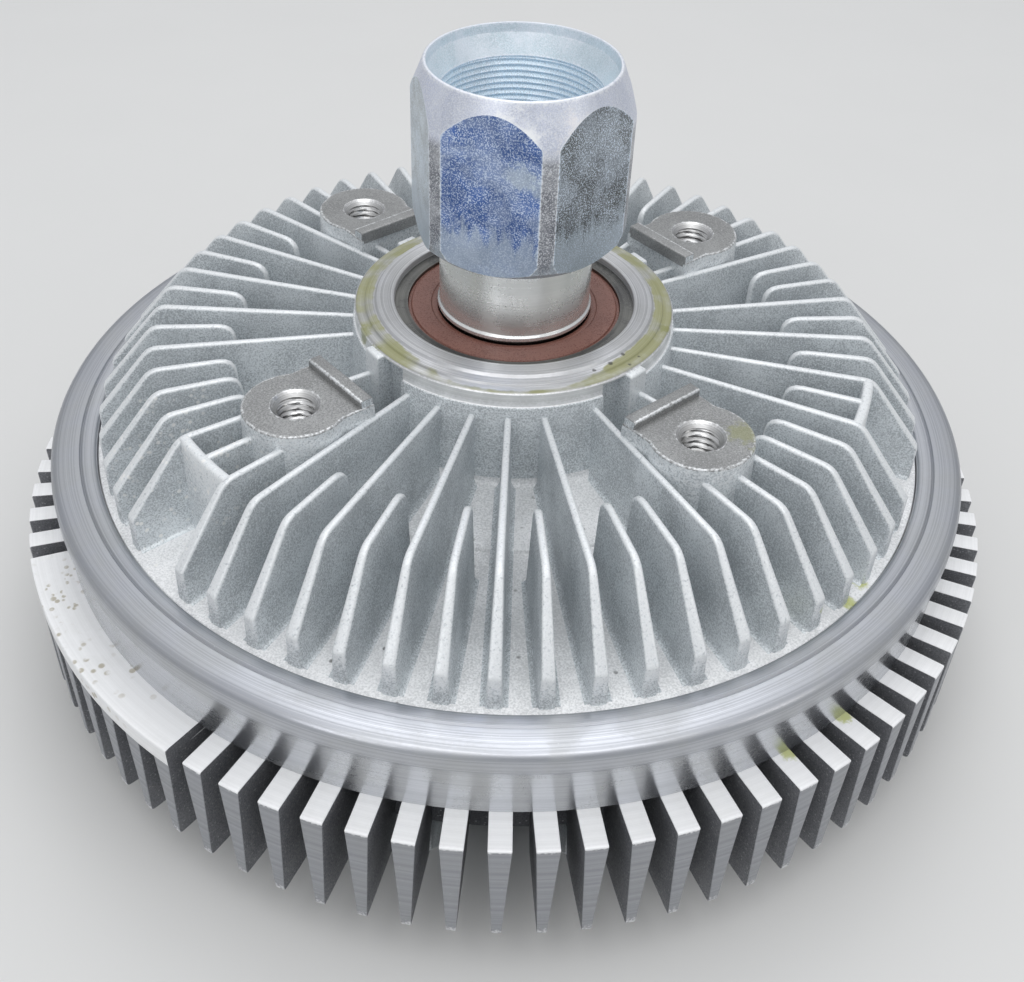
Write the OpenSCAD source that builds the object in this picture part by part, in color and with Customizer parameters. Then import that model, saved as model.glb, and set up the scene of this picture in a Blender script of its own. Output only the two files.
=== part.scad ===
// Viscous fan clutch, standing on its nose with the hexagon coupling up.
// The clutch axis is Z, and the standing plane under the nose fins is z = 0.

/* [Rim and front cover] */
// Height of the rolled rim's edge above the standing plane
rim_z = 46; // [44:0.5:60]
// Outer radius of the rolled rim
rim_r = 90.3; // [89:0.1:94]
// How far the rolled rim stands out from the turned skirt
rim_overhang = 0.8; // [0.3:0.1:1.5]
// Width of the lip that is rolled inwards over the housing
lip_w = 8.7; // [6:0.1:9.5]
// Thickness of the rolled lip
lip_t = 2.2; // [1.5:0.1:3]
// Height of the turned skirt below the rim's edge
skirt_h = 12.2; // [9:0.1:14]
// Radius of the fluid chamber
chamber_r = 76.6; // [75:0.1:78]
// Thickness of the chamber's outer wall
chamber_wall = 5.4; // [4:0.1:6]
// Thickness of the cover's disc
cover_t = 8; // [5:0.5:10]

/* [Crown fins] */
// Number of fins round the crown
crown_count = 80; // [60:2:90]
// Outer radius of the crown fins
crown_r = 96.9; // [94:0.1:105]
// Height of the crown fins
crown_h = 24.1; // [18:0.1:27]
// Thickness of a crown fin at its top
crown_top_t = 3.9; // [2.5:0.1:4.4]
// Thickness of a crown fin at its tip
crown_tip_t = 1.6; // [1:0.1:2.2]
// Azimuth of the first crown fin
crown_angle = -89.3; // [-95:0.1:-85]
// First crown fin under the solid flange sector
sector_first = -15; // [-18:1:-9]
// Number of fins under the solid flange sector
sector_fins = 8; // [4:1:14]
// Thickness of the solid flange sector
sector_t = 4; // [2:0.5:8]

/* [Nose fins] */
// Radius at which the nose fins start
nose_in_r = 41; // [40:0.5:50]
// Radius at which the nose fins start to slope up to the crown
nose_out_r = 74; // [60:0.5:78]
// Thickness of a nose fin
nose_t = 2.4; // [1.6:0.1:3.2]

/* [Rear housing] */
// Thickness of the housing's flange under the lip
flange_t = 4.4; // [3:0.1:6]
// Outer radius of the turned hub ring
hub_r = 30.5; // [29:0.1:32]
// Height of the hub's top above the rim's edge
hub_h = 28; // [26:0.1:32]
// How far the hub's cast wall leans out from the turned ring down to the floor
hub_draft = 1.9; // [0.8:0.1:2.4]
// Height of the casting's floor at the hub above the rim's edge
floor_hub_h = 7.6; // [7:0.1:10]
// Height of the casting's floor at the lip above the rim's edge
floor_rim_h = 1.8; // [1.4:0.1:2.2]
// Thickness of the casting's floor
floor_t = 4.6; // [3.5:0.1:5.5]
// Radius at which the raised inner floor ends
floor_step_r = 48; // [45:0.1:50]

/* [Radial fins] */
// Number of radial fin places round the housing
fin_count = 60; // [60:60:60]
// Azimuth of the first radial fin
fin_angle = -90.5; // [-96:0.1:-84]
// Height of the fin tops above the rim's edge
fin_h = 22; // [16:0.1:23]
// Radius of the knee, where the fin tops turn down
knee_r = 69.2; // [62:0.1:74]
// Radius of the fins' outer ends
fin_end_r = 80.2; // [77:0.1:80.8]
// Height of the fins' outer ends above the rim's edge
fin_end_h = 8.7; // [5:0.1:12]
// Radius at which the short fins start
short_fin_r = 53.5; // [51:0.1:58]
// Radius of the short fins' rounded inner ends
short_fin_round = 3.3; // [2:0.1:8]
// Thickness of a radial fin at its top
fin_top_t = 1.3; // [1:0.1:2.2]
// Thickness of a radial fin at its root
fin_root_t = 3; // [2:0.1:3.4]

/* [Fan bosses] */
// Diameter of the circle of fan bolts
boss_pcd = 99.6; // [96:0.2:104]
// Radius of a boss
boss_r = 9.4; // [8:0.1:11]
// Height of the boss faces above the rim's edge
boss_h = 24.7; // [23:0.1:27]
// Radius of a tapped fan bolt hole
tap_r = 3.4; // [2.6:0.1:4.3]
// Depth of a tapped fan bolt hole
tap_depth = 17; // [12:0.5:18]
// Radius of the fan's pilot register
pilot_r = 42.4; // [41:0.1:44]
// Height of the pilot register above the boss faces
pilot_h = 1.5; // [1:0.1:4]
// Radial width of the pilot register
pilot_w = 2.6; // [2:0.1:4]
// Width of the lug that carries the pilot register
lug_w = 16.6; // [14:0.1:18]

/* [Bearing] */
// Radius of the bearing's bore
bearing_bore_r = 10; // [9:0.1:10.5]
// Outer radius of the bearing
bearing_r = 23.5; // [23.2:0.1:24]
// Width of the bearing
bearing_w = 14; // [12:0.5:15]
// Radius of a ball
ball_r = 3.97; // [3.5:0.01:4.2]
// Number of balls
ball_count = 8; // [6:1:9]

/* [Input shaft] */
// Radius of the neck
neck_r = 14.3; // [13:0.1:15]
// Length of the neck from the bearing to the coupling
neck_len = 15.7; // [10:0.1:24]
// Width of the coupling across its flats
hex_af = 36; // [34:0.5:38]
// Outer radius of the coupling over its turned corners
hex_r = 20; // [19.2:0.1:21]
// Height of the coupling
hex_len = 32; // [26:0.5:40]
// Azimuth of a flat of the coupling
hex_angle = -105.2; // [-130:0.1:-70]
// Wall radius of the coupling's thread
thread_r = 14.2; // [12:0.1:15]
// Depth of the coupling's thread
thread_depth = 22; // [15:0.5:24]

/* [Rotor and pump plate] */
// Running gap between the rotor and its neighbours
rotor_gap = 0.5; // [0.3:0.05:0.8]
// Thickness of the rotor's web
rotor_web_t = 6.2; // [4:0.1:7]
// Height of the interleaved lands
land_h = 3.9; // [2.5:0.1:4]
// Width of a land
land_w = 2.2; // [1.6:0.1:2.2]
// Spacing of the lands on one face
land_pitch = 5.8; // [5.4:0.1:5.8]
// Number of lands on each face of the rotor
land_count = 4; // [2:1:4]
// Radius of the pump plate
plate_r = 51; // [48:0.1:52]
// Thickness of the pump plate
plate_t = 1.2; // [1:0.1:2]

/* [Valve and coil] */
// Depth of the fluid reservoir behind the pump plate
reservoir_depth = 11.5; // [8:0.1:12]
// Radius of the fluid reservoir
reservoir_r = 45; // [42:0.1:46]
// Thickness of the wall between the reservoir and the coil
centre_wall_t = 5; // [4:0.1:6]
// Radius of the valve shaft
valve_r = 3; // [2.5:0.1:3.5]
// Thickness of the valve arm
arm_t = 1; // [0.8:0.1:2]
// Radius of the valve port in the pump plate
port_r = 2.5; // [1.5:0.1:4]
// Radius at which the valve port lies
port_at_r = 36; // [30:0.1:38]
// Thickness of the coil's strip
strip_t = 0.9; // [0.6:0.05:1.1]
// Width of the coil's strip
strip_w = 6.5; // [4:0.1:7]
// Spacing of the coil's turns
coil_pitch = 2.3; // [1.8:0.1:2.5]
// Inner radius of the coil
coil_in_r = 6; // [5.5:0.1:7]
// Turns of the coil, ending a quarter turn past whole turns
coil_turns = 7.25; // [5.25:1:7.25]

/* [Hidden] */
$fn = 96;

// Clearances
press_gap = 0.02;
running_gap = 0.05;
seat_gap = 0.1;
free_gap = 0.4;
sunk = 1;

// Rim, skirt and flange
skirt_r = rim_r - rim_overhang;
lip_in_r = rim_r - lip_w;
lip_top_z = rim_z + floor_rim_h + 1;
flange_r = skirt_r - 2.7;
flange_top_z = lip_top_z - lip_t;
seat_z = flange_top_z - flange_t;
skirt_z = rim_z - skirt_h;
core_r = chamber_r + chamber_wall;

// Heights of the running parts, from the flange seat down
rear_land_z = seat_z - land_h;
web_top_z = rear_land_z - rotor_gap;
web_z = web_top_z - rotor_web_t;
cover_land_z = web_z - rotor_gap;
cover_floor_z = cover_land_z - land_h;
plate_z = cover_land_z - plate_t;
cover_face_z = cover_floor_z - cover_t;
reservoir_z = plate_z - reservoir_depth;
coil_room_z = reservoir_z - centre_wall_t;
rotor_r = chamber_r - 0.6;
plate_seat_r = plate_r + seat_gap;
rotor_land_r = plate_seat_r + 3;
fixed_land_r = rotor_land_r + land_pitch / 2;

// Bearing
bearing_top_z = rim_z + hub_h - 1.4;
bearing_z = bearing_top_z - bearing_w;
bearing_mid_z = bearing_top_z - bearing_w / 2;
ball_pitch_r = (bearing_bore_r + bearing_r) / 2;
ball_gap = 0.13;
race_shoulder = 2.5;
inner_race_r = ball_pitch_r - race_shoulder;
outer_race_r = ball_pitch_r + race_shoulder;
seal_r = outer_race_r + 1.1;
seal_t = 1.6;

// Crown, nose and radial fins
crown_tip_z = skirt_z - crown_h;
crown_pitch = 360 / crown_count;
nose_count = crown_count / 2;
fin_pitch = 360 / fin_count;
fin_top_z = rim_z + fin_h;
boss_count = 4;
boss_step = fin_count / boss_count;
boss_first = 7;
boss_z = rim_z + boss_h;
boss_fin_r = boss_pcd / 2 + boss_r - 3;
lug_in_r = pilot_r - pilot_w;

// Hub: turned ring, cast wall, and a recess and column beside each boss
hub_top_z = rim_z + hub_h;
hub_ring_z = hub_top_z - 4;
hub_wall_r = hub_r + 0.4;
hub_foot_r = hub_r + hub_draft;
floor_step_h = 0.5;
recess_r = hub_r - 1.6;
recess_angle = 10.2;
recess_end = 1.2;
recess_top_z = hub_top_z - 1.8;
recess_low_z = rim_z + floor_hub_h + 3.4;
column_angle = 4.6;
column_w = 4.2;
column_r = hub_r + 1.4;

// Coupling
neck_z = bearing_top_z;
hex_z = neck_z + neck_len;
hex_top_z = hex_z + hex_len;
hex_chamfer = 2.2;
hex_cone_h = 7.1;
crest_round = 0.45;
mouth_h = 5.1;
mouth_w = 2;
mouth_edge_h = 1.6;

// Rotor's hub cone and pressure holes
rotor_cone_r = 26;
rotor_neck_r = 20;
rotor_hole_r = 4;
rotor_hole_at_r = 38;
rotor_hole_count = 6;

// Valve and coil
bush_r = valve_r + 2;
arm_z = plate_z - 0.3 - arm_t;
coil_room_mid = coil_room_z / 2;
strip_z = coil_room_mid - strip_w / 2;
coil_out_r = coil_in_r + coil_pitch * coil_turns;
tail_len = 4;
bracket_r = coil_out_r + 1.2;
bracket_t = 1.6;
bracket_screw_r = 1.5;
rivet_r = 1.5;
rivet_count = 6;
rivet_len = 4;
arm_w = 2 * valve_r;
arm_hub_r = 2 * valve_r;
rivet_at_r = (reservoir_r + plate_r) / 2;
cast_grey = "silver";

// Height of the sloping floor of the rear casting at radius r
function floor_z(r) = rim_z + floor_hub_h
    - (floor_hub_h - floor_rim_h) * (r - hub_r) / (fin_end_r - hub_r);

// Points of an arc in a section, from angle a to angle b
function arc(centre, radius, a, b, steps = 6) =
    [for (i = [0 : steps]) centre + radius * [cos(a + (b - a) * i / steps), sin(a + (b - a) * i / steps)]];

// Ring of rectangular section
module ring(r_in, r_out, z, h) {
    rotate_extrude() translate([r_in, z]) square([r_out - r_in, h]);
}

// One radial blade whose thickness changes evenly from z_low to z_high
module blade(r_in, r_out, z_low, z_high, t_low, t_high) {
    translate([r_in, 0, 0]) rotate([90, 0, 90]) linear_extrude(r_out - r_in)
        polygon([[-t_low / 2, z_low], [t_low / 2, z_low], [t_high / 2, z_high], [-t_high / 2, z_high]]);
}

// Kind of the radial fin at place k: "long", "short", "boss" or "stub", counted from the boss before it
function from_boss(k) = (k - boss_first + 2 * fin_count) % boss_step;
function quarter(k) = floor(((k - boss_first + 2 * fin_count) % fin_count) / boss_step);
pocket_mid = [12, fin_count - 8];
function fin_kind(k) = let (j = from_boss(k), q = quarter(k))
    len(search(k, pocket_mid)) > 0 ? "stub"
    : j < 2 || j == boss_step - 1 ? "boss"
    : j == 2 && q == 0 || j == 13 && q == 2 ? "short"
    : j == 2 || j == 4 || j == 6 || j == 8 || j == 10 || j == 13 ? "long" : "short";

// Section that the fins of one kind fill, turned round the axis
module fin_envelope(start_r, round_r, end_r) {
    knee_in = min(knee_r, end_r);
    rotate_extrude() polygon(concat(
        [[start_r, floor_z(start_r) - sunk]],
        round_r > 0 ? arc([start_r + round_r, fin_top_z - round_r], round_r, 180, 90) : [[start_r, fin_top_z]],
        [[knee_in, fin_top_z]],
        end_r > knee_r ? [[fin_end_r, rim_z + fin_end_h]] : [],
        [[end_r, floor_z(end_r) - sunk]]));
}

module fins_of(kind, start_r, round_r, end_r) {
    intersection() {
        for (k = [0 : fin_count - 1]) if (fin_kind(k) == kind)
            rotate(fin_angle + fin_pitch * k)
                blade(start_r - 1, end_r + 1, rim_z - 1, fin_top_z + 1, fin_root_t, fin_top_t);
        fin_envelope(start_r, round_r, end_r);
    }
}

// Wall across a pocket, joining two fins at the knee
module pocket_wall(k) {
    rotate(fin_angle + fin_pitch * (k - 1)) rotate_extrude(angle = 2 * fin_pitch)
        polygon([[knee_r - 2.2, floor_z(knee_r) - sunk], [knee_r - 1.9, fin_top_z],
                 [knee_r, fin_top_z], [knee_r + 0.6, floor_z(knee_r) - sunk]]);
}

// Places a child at each boss, mirrored at every second one
module at_bosses() {
    for (i = [0 : boss_count - 1])
        rotate(fin_angle + fin_pitch * (boss_first + boss_step * i)) mirror([0, i % 2, 0]) children();
}

// Boss, its lug with the pilot register, a stub fin to the hub and a column on the hub's wall
module boss_post() {
    base_z = floor_z(boss_pcd / 2) - sunk;
    translate([boss_pcd / 2, 0, base_z]) cylinder(r1 = boss_r + 0.8, r2 = boss_r, h = boss_z - base_z);
    intersection() {
        translate([lug_in_r - 2, -lug_w / 2, base_z])
            cube([boss_pcd / 2 - lug_in_r + 2, lug_w, boss_h + pilot_h]);
        rotate_extrude() polygon([[lug_in_r - 1, base_z - 1], [lug_in_r - 1, floor_z(lug_in_r)],
                                  [lug_in_r, boss_z + pilot_h], [pilot_r, boss_z + pilot_h], [pilot_r, boss_z],
                                  [boss_pcd / 2, boss_z], [boss_pcd / 2, base_z - 1]]);
    }
    rotate(fin_pitch) blade(hub_r - 1.5, lug_in_r + 1.5, rim_z - 1, fin_top_z, fin_root_t, fin_top_t);
    rotate(column_angle)
        blade(recess_r - 1, column_r, floor_z(hub_r) - sunk, recess_top_z + 0.3, column_w + 0.4, column_w);
}

// Room cut into the hub's wall beside a boss
module hub_recess() {
    rotate(recess_end - recess_angle) rotate_extrude(angle = recess_angle)
        polygon([[recess_r, recess_low_z], [hub_foot_r + 1, recess_low_z],
                 [hub_foot_r + 1, recess_top_z], [recess_r, recess_top_z]]);
}

module housing_lands() {
    for (i = [0 : land_count - 1])
        ring(fixed_land_r + i * land_pitch - land_w / 2, fixed_land_r + i * land_pitch + land_w / 2,
             rear_land_z, land_h + sunk);
}

module rear_housing() {
    shoulder_r = seal_r + 0.5;
    difference() {
        union() {
            difference() {
                rotate_extrude() polygon([
                    [shoulder_r, bearing_z], [bearing_r + press_gap, bearing_z],
                    [bearing_r + press_gap, bearing_top_z], [bearing_r - 0.6, bearing_top_z],
                    [bearing_r - 0.6, hub_top_z], [hub_r - 4.2, hub_top_z], [hub_r - 3.8, hub_top_z - 0.4],
                    [hub_r - 2.1, hub_top_z - 0.6], [hub_r - 1.9, hub_top_z - 0.9],
                    [hub_r - 0.4, hub_top_z - 1.1], [hub_r, hub_top_z - 1.4], [hub_r, hub_ring_z],
                    [hub_wall_r, hub_ring_z - 0.1], [hub_foot_r, floor_z(hub_foot_r) + floor_step_h],
                    [floor_step_r, floor_z(floor_step_r) + floor_step_h],
                    [floor_step_r + 0.4, floor_z(floor_step_r + 0.4)], [fin_end_r, floor_z(fin_end_r)],
                    [lip_in_r - 0.2, rim_z + floor_rim_h],
                    [lip_in_r - 0.2, flange_top_z], [flange_r, flange_top_z], [flange_r, seat_z],
                    [plate_seat_r + 1.5, seat_z], [plate_seat_r, floor_z(plate_seat_r) - floor_t],
                    [hub_r + 1.5, floor_z(hub_r) - floor_t], [hub_r - 3.5, bearing_z - 4],
                    [shoulder_r, bearing_z - 4]]);
                at_bosses() hub_recess();
            }
            housing_lands();
            fins_of("long", hub_r - 1.5, 0, fin_end_r);
            fins_of("short", short_fin_r, short_fin_round, fin_end_r);
            fins_of("boss", boss_fin_r, 0, fin_end_r);
            fins_of("stub", short_fin_r, short_fin_round, knee_r - 1);
            for (k = pocket_mid) pocket_wall(k);
            at_bosses() boss_post();
        }
        at_bosses() translate([boss_pcd / 2, 0, boss_z - tap_depth]) {
            cylinder(r = tap_r, h = tap_depth + 1);
            translate([0, 0, tap_depth - 1.2]) cylinder(r1 = tap_r, r2 = tap_r + 1.4, h = 1.4);
        }
    }
}

// One crown fin, thick at its top and round at its tip, reaching into the skirt
module crown_blade() {
    tip_r = crown_tip_t / 2;
    draft = (crown_top_t - crown_tip_t) / crown_h / 2;
    top_t = crown_top_t / 2 + draft * sunk;
    translate([core_r - sunk, 0, 0]) rotate([90, 0, 90]) linear_extrude(crown_r - core_r + sunk + 2)
        polygon(concat([[top_t, skirt_z + sunk], [-top_t, skirt_z + sunk]],
                       arc([0, crown_tip_z + tip_r], tip_r, 180, 360, 4)));
}

// Blades from place first to place last, turned to their outline with their tops at top_z
module crown_blades(first, last, top_z) {
    intersection() {
        for (i = [first : last]) rotate(crown_angle + crown_pitch * i) crown_blade();
        rotate_extrude() polygon([[core_r - sunk, crown_tip_z - 1], [crown_r, crown_tip_z - 1],
                                  [crown_r, top_z], [skirt_r - 0.5, top_z],
                                  [skirt_r - 0.5, skirt_z + sunk], [core_r - sunk, skirt_z + sunk]]);
    }
}

module crown() {
    sector_end = sector_first + sector_fins;
    half_fin = asin(crown_top_t / 2 / crown_r);
    crown_blades(sector_end, sector_first + crown_count - 1, skirt_z);
    crown_blades(sector_first, sector_end - 1, skirt_z - sector_t / 2);
    rotate(crown_angle + crown_pitch * sector_first - half_fin)
        rotate_extrude(angle = crown_pitch * (sector_fins - 1) + 2 * half_fin)
            polygon([[core_r - sunk, skirt_z - sector_t], [crown_r + 0.1, skirt_z - sector_t],
                     [crown_r + 0.1, skirt_z + 0.2], [skirt_r - 0.7, skirt_z + 0.2],
                     [skirt_r - 0.7, skirt_z + sunk], [core_r - sunk, skirt_z + sunk]]);
}

module nose_fins() {
    for (i = [0 : nose_count - 1]) rotate(crown_angle + crown_pitch * 2 * i)
        rotate([90, 0, 0]) translate([0, 0, -nose_t / 2]) linear_extrude(nose_t)
            polygon([[nose_in_r, 0], [nose_out_r, 0], [core_r + 0.5, crown_tip_z + 1],
                     [core_r + 0.5, cover_face_z + sunk], [nose_in_r, cover_face_z + sunk]]);
}

module front_cover() {
    bead_round = 2.4;
    bead_turn = 80;
    bead_centre = [rim_r - bead_round, rim_z + 0.2];
    boss_top_z = reservoir_z + 3;
    difference() {
        union() {
            rotate_extrude() polygon(concat(
                [[0, coil_room_z], [nose_in_r, coil_room_z], [nose_in_r + 5, cover_face_z],
                 [core_r, cover_face_z], [core_r, skirt_z], [skirt_r, skirt_z],
                 [skirt_r, rim_z - 2.6]],
                arc(bead_centre, bead_round, 0, bead_turn),
                [[lip_in_r + 0.9, lip_top_z], [lip_in_r, lip_top_z - 0.6], [lip_in_r, flange_top_z],
                 [flange_r + seat_gap, flange_top_z], [flange_r + seat_gap, seat_z],
                 [chamber_r, seat_z], [chamber_r, cover_floor_z], [plate_seat_r, cover_floor_z],
                 [plate_seat_r, plate_z], [reservoir_r, plate_z], [reservoir_r, reservoir_z],
                 [0, reservoir_z]]));
            for (i = [0 : land_count - 1])
                ring(fixed_land_r + i * land_pitch - land_w / 2, fixed_land_r + i * land_pitch + land_w / 2,
                     cover_floor_z - sunk, land_h + sunk);
            crown();
            nose_fins();
            translate([0, 0, reservoir_z - sunk]) cylinder(r = bush_r + 3, h = boss_top_z - reservoir_z + sunk);
        }
        translate([0, 0, coil_room_z - 1]) cylinder(r = bush_r + press_gap, h = centre_wall_t + 6);
        ring(flange_r - 2.6, flange_r - 1, seat_z - 0.8, 1);
        for (i = [0 : rivet_count - 1]) rotate(360 / rivet_count * i)
            translate([rivet_at_r, 0, plate_z - 5]) cylinder(r = rivet_r + press_gap, h = 6);
        for (side = [-1, 1]) bracket_screw_place(side)
            translate([0, 0, coil_room_z - 1]) cylinder(r = bracket_screw_r + press_gap, h = 4.2);
    }
}

module cover_seal() {
    color("dimgray") ring(flange_r - 2.6 + seat_gap, flange_r - 1 - seat_gap, seat_z - 0.8, 0.8);
}

// Turned outline of the coupling, with a rounded top rim and chamfered foot
module coupling() {
    intersection() {
        rotate(hex_angle) translate([0, 0, hex_z]) rotate(30)
            cylinder(r = hex_af / 2 / cos(30), h = hex_len, $fn = 6);
        rotate_extrude() polygon(concat(
            [[0, hex_z], [hex_r - hex_chamfer, hex_z], [hex_r - 0.5, hex_z + 1.6], [hex_r, hex_z + 3.4],
             [hex_r, hex_top_z - hex_cone_h], [hex_r - 2, hex_top_z - 2.4]],
            arc([hex_r - 2.85 - crest_round, hex_top_z - crest_round], crest_round, 15, 90),
            [[0, hex_top_z]]));
    }
}

module input_shaft() {
    journal_end_z = web_z + 0.4;
    color("lightsteelblue") difference() {
        union() {
            coupling();
            rotate_extrude() polygon([
                [0, journal_end_z], [bearing_bore_r - 0.6, journal_end_z],
                [bearing_bore_r - press_gap, journal_end_z + 0.6], [bearing_bore_r - press_gap, neck_z],
                [inner_race_r - 0.3, neck_z], [inner_race_r - 0.3, neck_z + free_gap],
                [neck_r + 0.4, neck_z + free_gap], [neck_r + 0.4, neck_z + 1.1], [neck_r, neck_z + 1.5],
                [neck_r, hex_z + sunk], [0, hex_z + sunk]]);
        }
        translate([0, 0, hex_top_z - thread_depth]) cylinder(r = thread_r, h = thread_depth + 1);
        rotate_extrude() polygon([[0, hex_top_z - mouth_h], [thread_r, hex_top_z - mouth_h],
                                  [thread_r + mouth_w, hex_top_z - mouth_edge_h],
                                  [thread_r + mouth_w + 0.4, hex_top_z + 0.2], [0, hex_top_z + 0.2]]);
        ring(bearing_bore_r - 1, bearing_bore_r + 1, journal_end_z + 0.9, 1.3);
    }
}

module ball_track() {
    translate([0, 0, bearing_mid_z]) rotate_extrude() translate([ball_pitch_r, 0]) circle(r = ball_r + ball_gap);
}

module bearing_outer_race() {
    color("dimgray") difference() {
        ring(outer_race_r, bearing_r, bearing_z, bearing_w);
        ball_track();
        ring(outer_race_r - 1, seal_r + press_gap, bearing_top_z - seal_t - 0.2, seal_t + 1);
        ring(outer_race_r - 1, seal_r + press_gap, bearing_z - 1, seal_t + 1.2);
    }
}

module bearing_inner_race() {
    color("silver") difference() {
        ring(bearing_bore_r, inner_race_r, bearing_z, bearing_w);
        ball_track();
    }
}

module bearing_balls() {
    color("gainsboro") for (i = [0 : ball_count - 1]) rotate(360 / ball_count * i)
        translate([ball_pitch_r, 0, bearing_mid_z]) sphere(r = ball_r);
}

module bearing_cage() {
    cage_h = 2 * ball_r + 1.5;
    color("goldenrod") difference() {
        ring(ball_pitch_r - 1.4, ball_pitch_r + 1.4, bearing_mid_z - cage_h / 2, cage_h);
        for (i = [0 : ball_count - 1]) rotate(360 / ball_count * i)
            translate([ball_pitch_r, 0, bearing_mid_z]) sphere(r = ball_r + 0.18);
    }
}

module bearing_seal(z) {
    ring(inner_race_r + free_gap, seal_r, z, seal_t);
}

module bearing_seal_rear() {
    color("sienna") bearing_seal(bearing_top_z - seal_t - 0.2);
}

module bearing_seal_front() {
    color("sienna") bearing_seal(bearing_z + 0.2);
}

module rotor_disc() {
    recess_h = 3;
    color("lightgray") difference() {
        union() {
            rotate_extrude() polygon([
                [bearing_bore_r, web_z], [rotor_r, web_z], [rotor_r, web_top_z], [rotor_cone_r, web_top_z],
                [rotor_neck_r, web_top_z + 4], [inner_race_r - 0.3, web_top_z + 8],
                [inner_race_r - 0.3, bearing_z], [bearing_bore_r, bearing_z]]);
            for (i = [0 : land_count - 1]) {
                land = rotor_land_r + i * land_pitch;
                ring(land - land_w / 2, land + land_w / 2, web_z - land_h, land_h + sunk);
                ring(land - land_w / 2, land + land_w / 2, web_top_z - sunk, land_h + sunk);
            }
        }
        ring(bearing_bore_r - 1, bearing_bore_r + 3.4, web_z - 1, recess_h + 1);
        for (i = [0 : rotor_hole_count - 1]) rotate(360 / rotor_hole_count * i)
            translate([rotor_hole_at_r, 0, web_z - 1]) cylinder(r = rotor_hole_r, h = rotor_web_t + 2);
    }
}

module rotor_retaining_ring() {
    color("dimgray") rotate(20) rotate_extrude(angle = 320)
        translate([bearing_bore_r - 1 + press_gap, web_z + 0.4 + 0.9 + 0.05]) square([3.2, 1.2]);
}

module pump_plate() {
    color("silver") difference() {
        translate([0, 0, plate_z]) cylinder(r = plate_r, h = plate_t);
        rotate(90) translate([port_at_r, 0, plate_z - 1]) cylinder(r = port_r, h = plate_t + 2);
        rotate(-90) translate([port_at_r + 4, 0, plate_z - 1]) cylinder(r = 1, h = plate_t + 2);
        for (i = [0 : rivet_count - 1]) rotate(360 / rivet_count * i)
            translate([rivet_at_r, 0, 0]) rivet_shape(press_gap);
    }
}

// Countersunk rivet, flush with the plate's face
module rivet_shape(gap) {
    translate([0, 0, plate_z - rivet_len]) cylinder(r = rivet_r + gap, h = plate_t + rivet_len - 0.8);
    translate([0, 0, plate_z + plate_t - 0.8]) cylinder(r1 = rivet_r + gap, r2 = rivet_r + 0.8 + gap, h = 0.8);
}

module plate_rivets() {
    color("gainsboro") for (i = [0 : rivet_count - 1]) rotate(360 / rivet_count * i)
        translate([rivet_at_r, 0, 0]) rivet_shape(0);
}

module valve_arm() {
    color("silver") difference() {
        union() {
            translate([0, 0, arm_z]) cylinder(r = arm_hub_r, h = arm_t);
            translate([-arm_w / 2, 0, arm_z]) cube([arm_w, port_at_r, arm_t]);
            translate([0, port_at_r, arm_z]) cylinder(r = port_r + 2, h = arm_t);
        }
        translate([0, 0, arm_z - 1]) cylinder(r = valve_r + press_gap, h = arm_t + 2);
    }
}

module valve_shaft() {
    slot_w = strip_t + 0.4;
    color("lightsteelblue") difference() {
        translate([0, 0, strip_z - 0.5]) cylinder(r = valve_r, h = arm_z + arm_t - strip_z + 0.5);
        translate([-valve_r - 1, -slot_w / 2, strip_z - 1]) cube([2 * valve_r + 2, slot_w, strip_w + 1.5]);
        ring(valve_r - 0.8, valve_r + 1, coil_room_z + 2, 1.8);
    }
}

module valve_shaft_seal() {
    color("dimgray") ring(valve_r - 0.8 + press_gap, valve_r, coil_room_z + 2.1, 1.6);
}

module valve_bush() {
    color("goldenrod") ring(valve_r + running_gap, bush_r, coil_room_z - 0.8, centre_wall_t + 3.8);
}

// Centre line of the coil's strip after a number of turns
function coil_r(turn) = coil_in_r + coil_pitch * turn;
function coil_edge(side) = [for (i = [0 : 20 * coil_turns]) let (turn = i / 20)
    (coil_r(turn) + side * strip_t / 2) * [cos(360 * turn), sin(360 * turn)]];
function backwards(list) = [for (i = [len(list) - 1 : -1 : 0]) list[i]];

module bimetal_coil() {
    color("tan") translate([0, 0, strip_z]) linear_extrude(strip_w) {
        polygon(concat(coil_edge(1), backwards(coil_edge(-1))));
        translate([-valve_r + 0.4, -strip_t / 2]) square([coil_in_r + valve_r - 0.4, strip_t]);
        rotate(360 * coil_turns) translate([coil_out_r - strip_t / 2, -strip_t / 2]) square([tail_len, strip_t]);
    }
}

module bracket_screw_place(side) {
    rotate(90) translate([bracket_r + 7, side * 5, 0]) children();
}

module coil_bracket() {
    leg_w = 14;
    slot_w = strip_t + 0.3;
    color("silver") rotate(90) difference() {
        union() {
            translate([bracket_r, -leg_w / 2, coil_room_z - bracket_t]) cube([11, leg_w, bracket_t]);
            translate([bracket_r, -leg_w / 2, strip_z]) cube([bracket_t, leg_w, coil_room_z - strip_z]);
        }
        translate([bracket_r - 1, -slot_w / 2, strip_z - 1])
            cube([bracket_t + 4, slot_w, strip_w + 1 + 0.3]);
        for (side = [-1, 1]) translate([bracket_r + 7, side * 5, coil_room_z - bracket_t - 1])
            cylinder(r = bracket_screw_r + press_gap, h = bracket_t + 2);
    }
}

module bracket_screws() {
    color("gainsboro") for (side = [-1, 1]) bracket_screw_place(side) {
        translate([0, 0, coil_room_z - bracket_t - 1.8]) cylinder(r = 2.8, h = 1.8);
        translate([0, 0, coil_room_z - bracket_t - sunk]) cylinder(r = bracket_screw_r, h = bracket_t + sunk + 3);
    }
}

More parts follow.
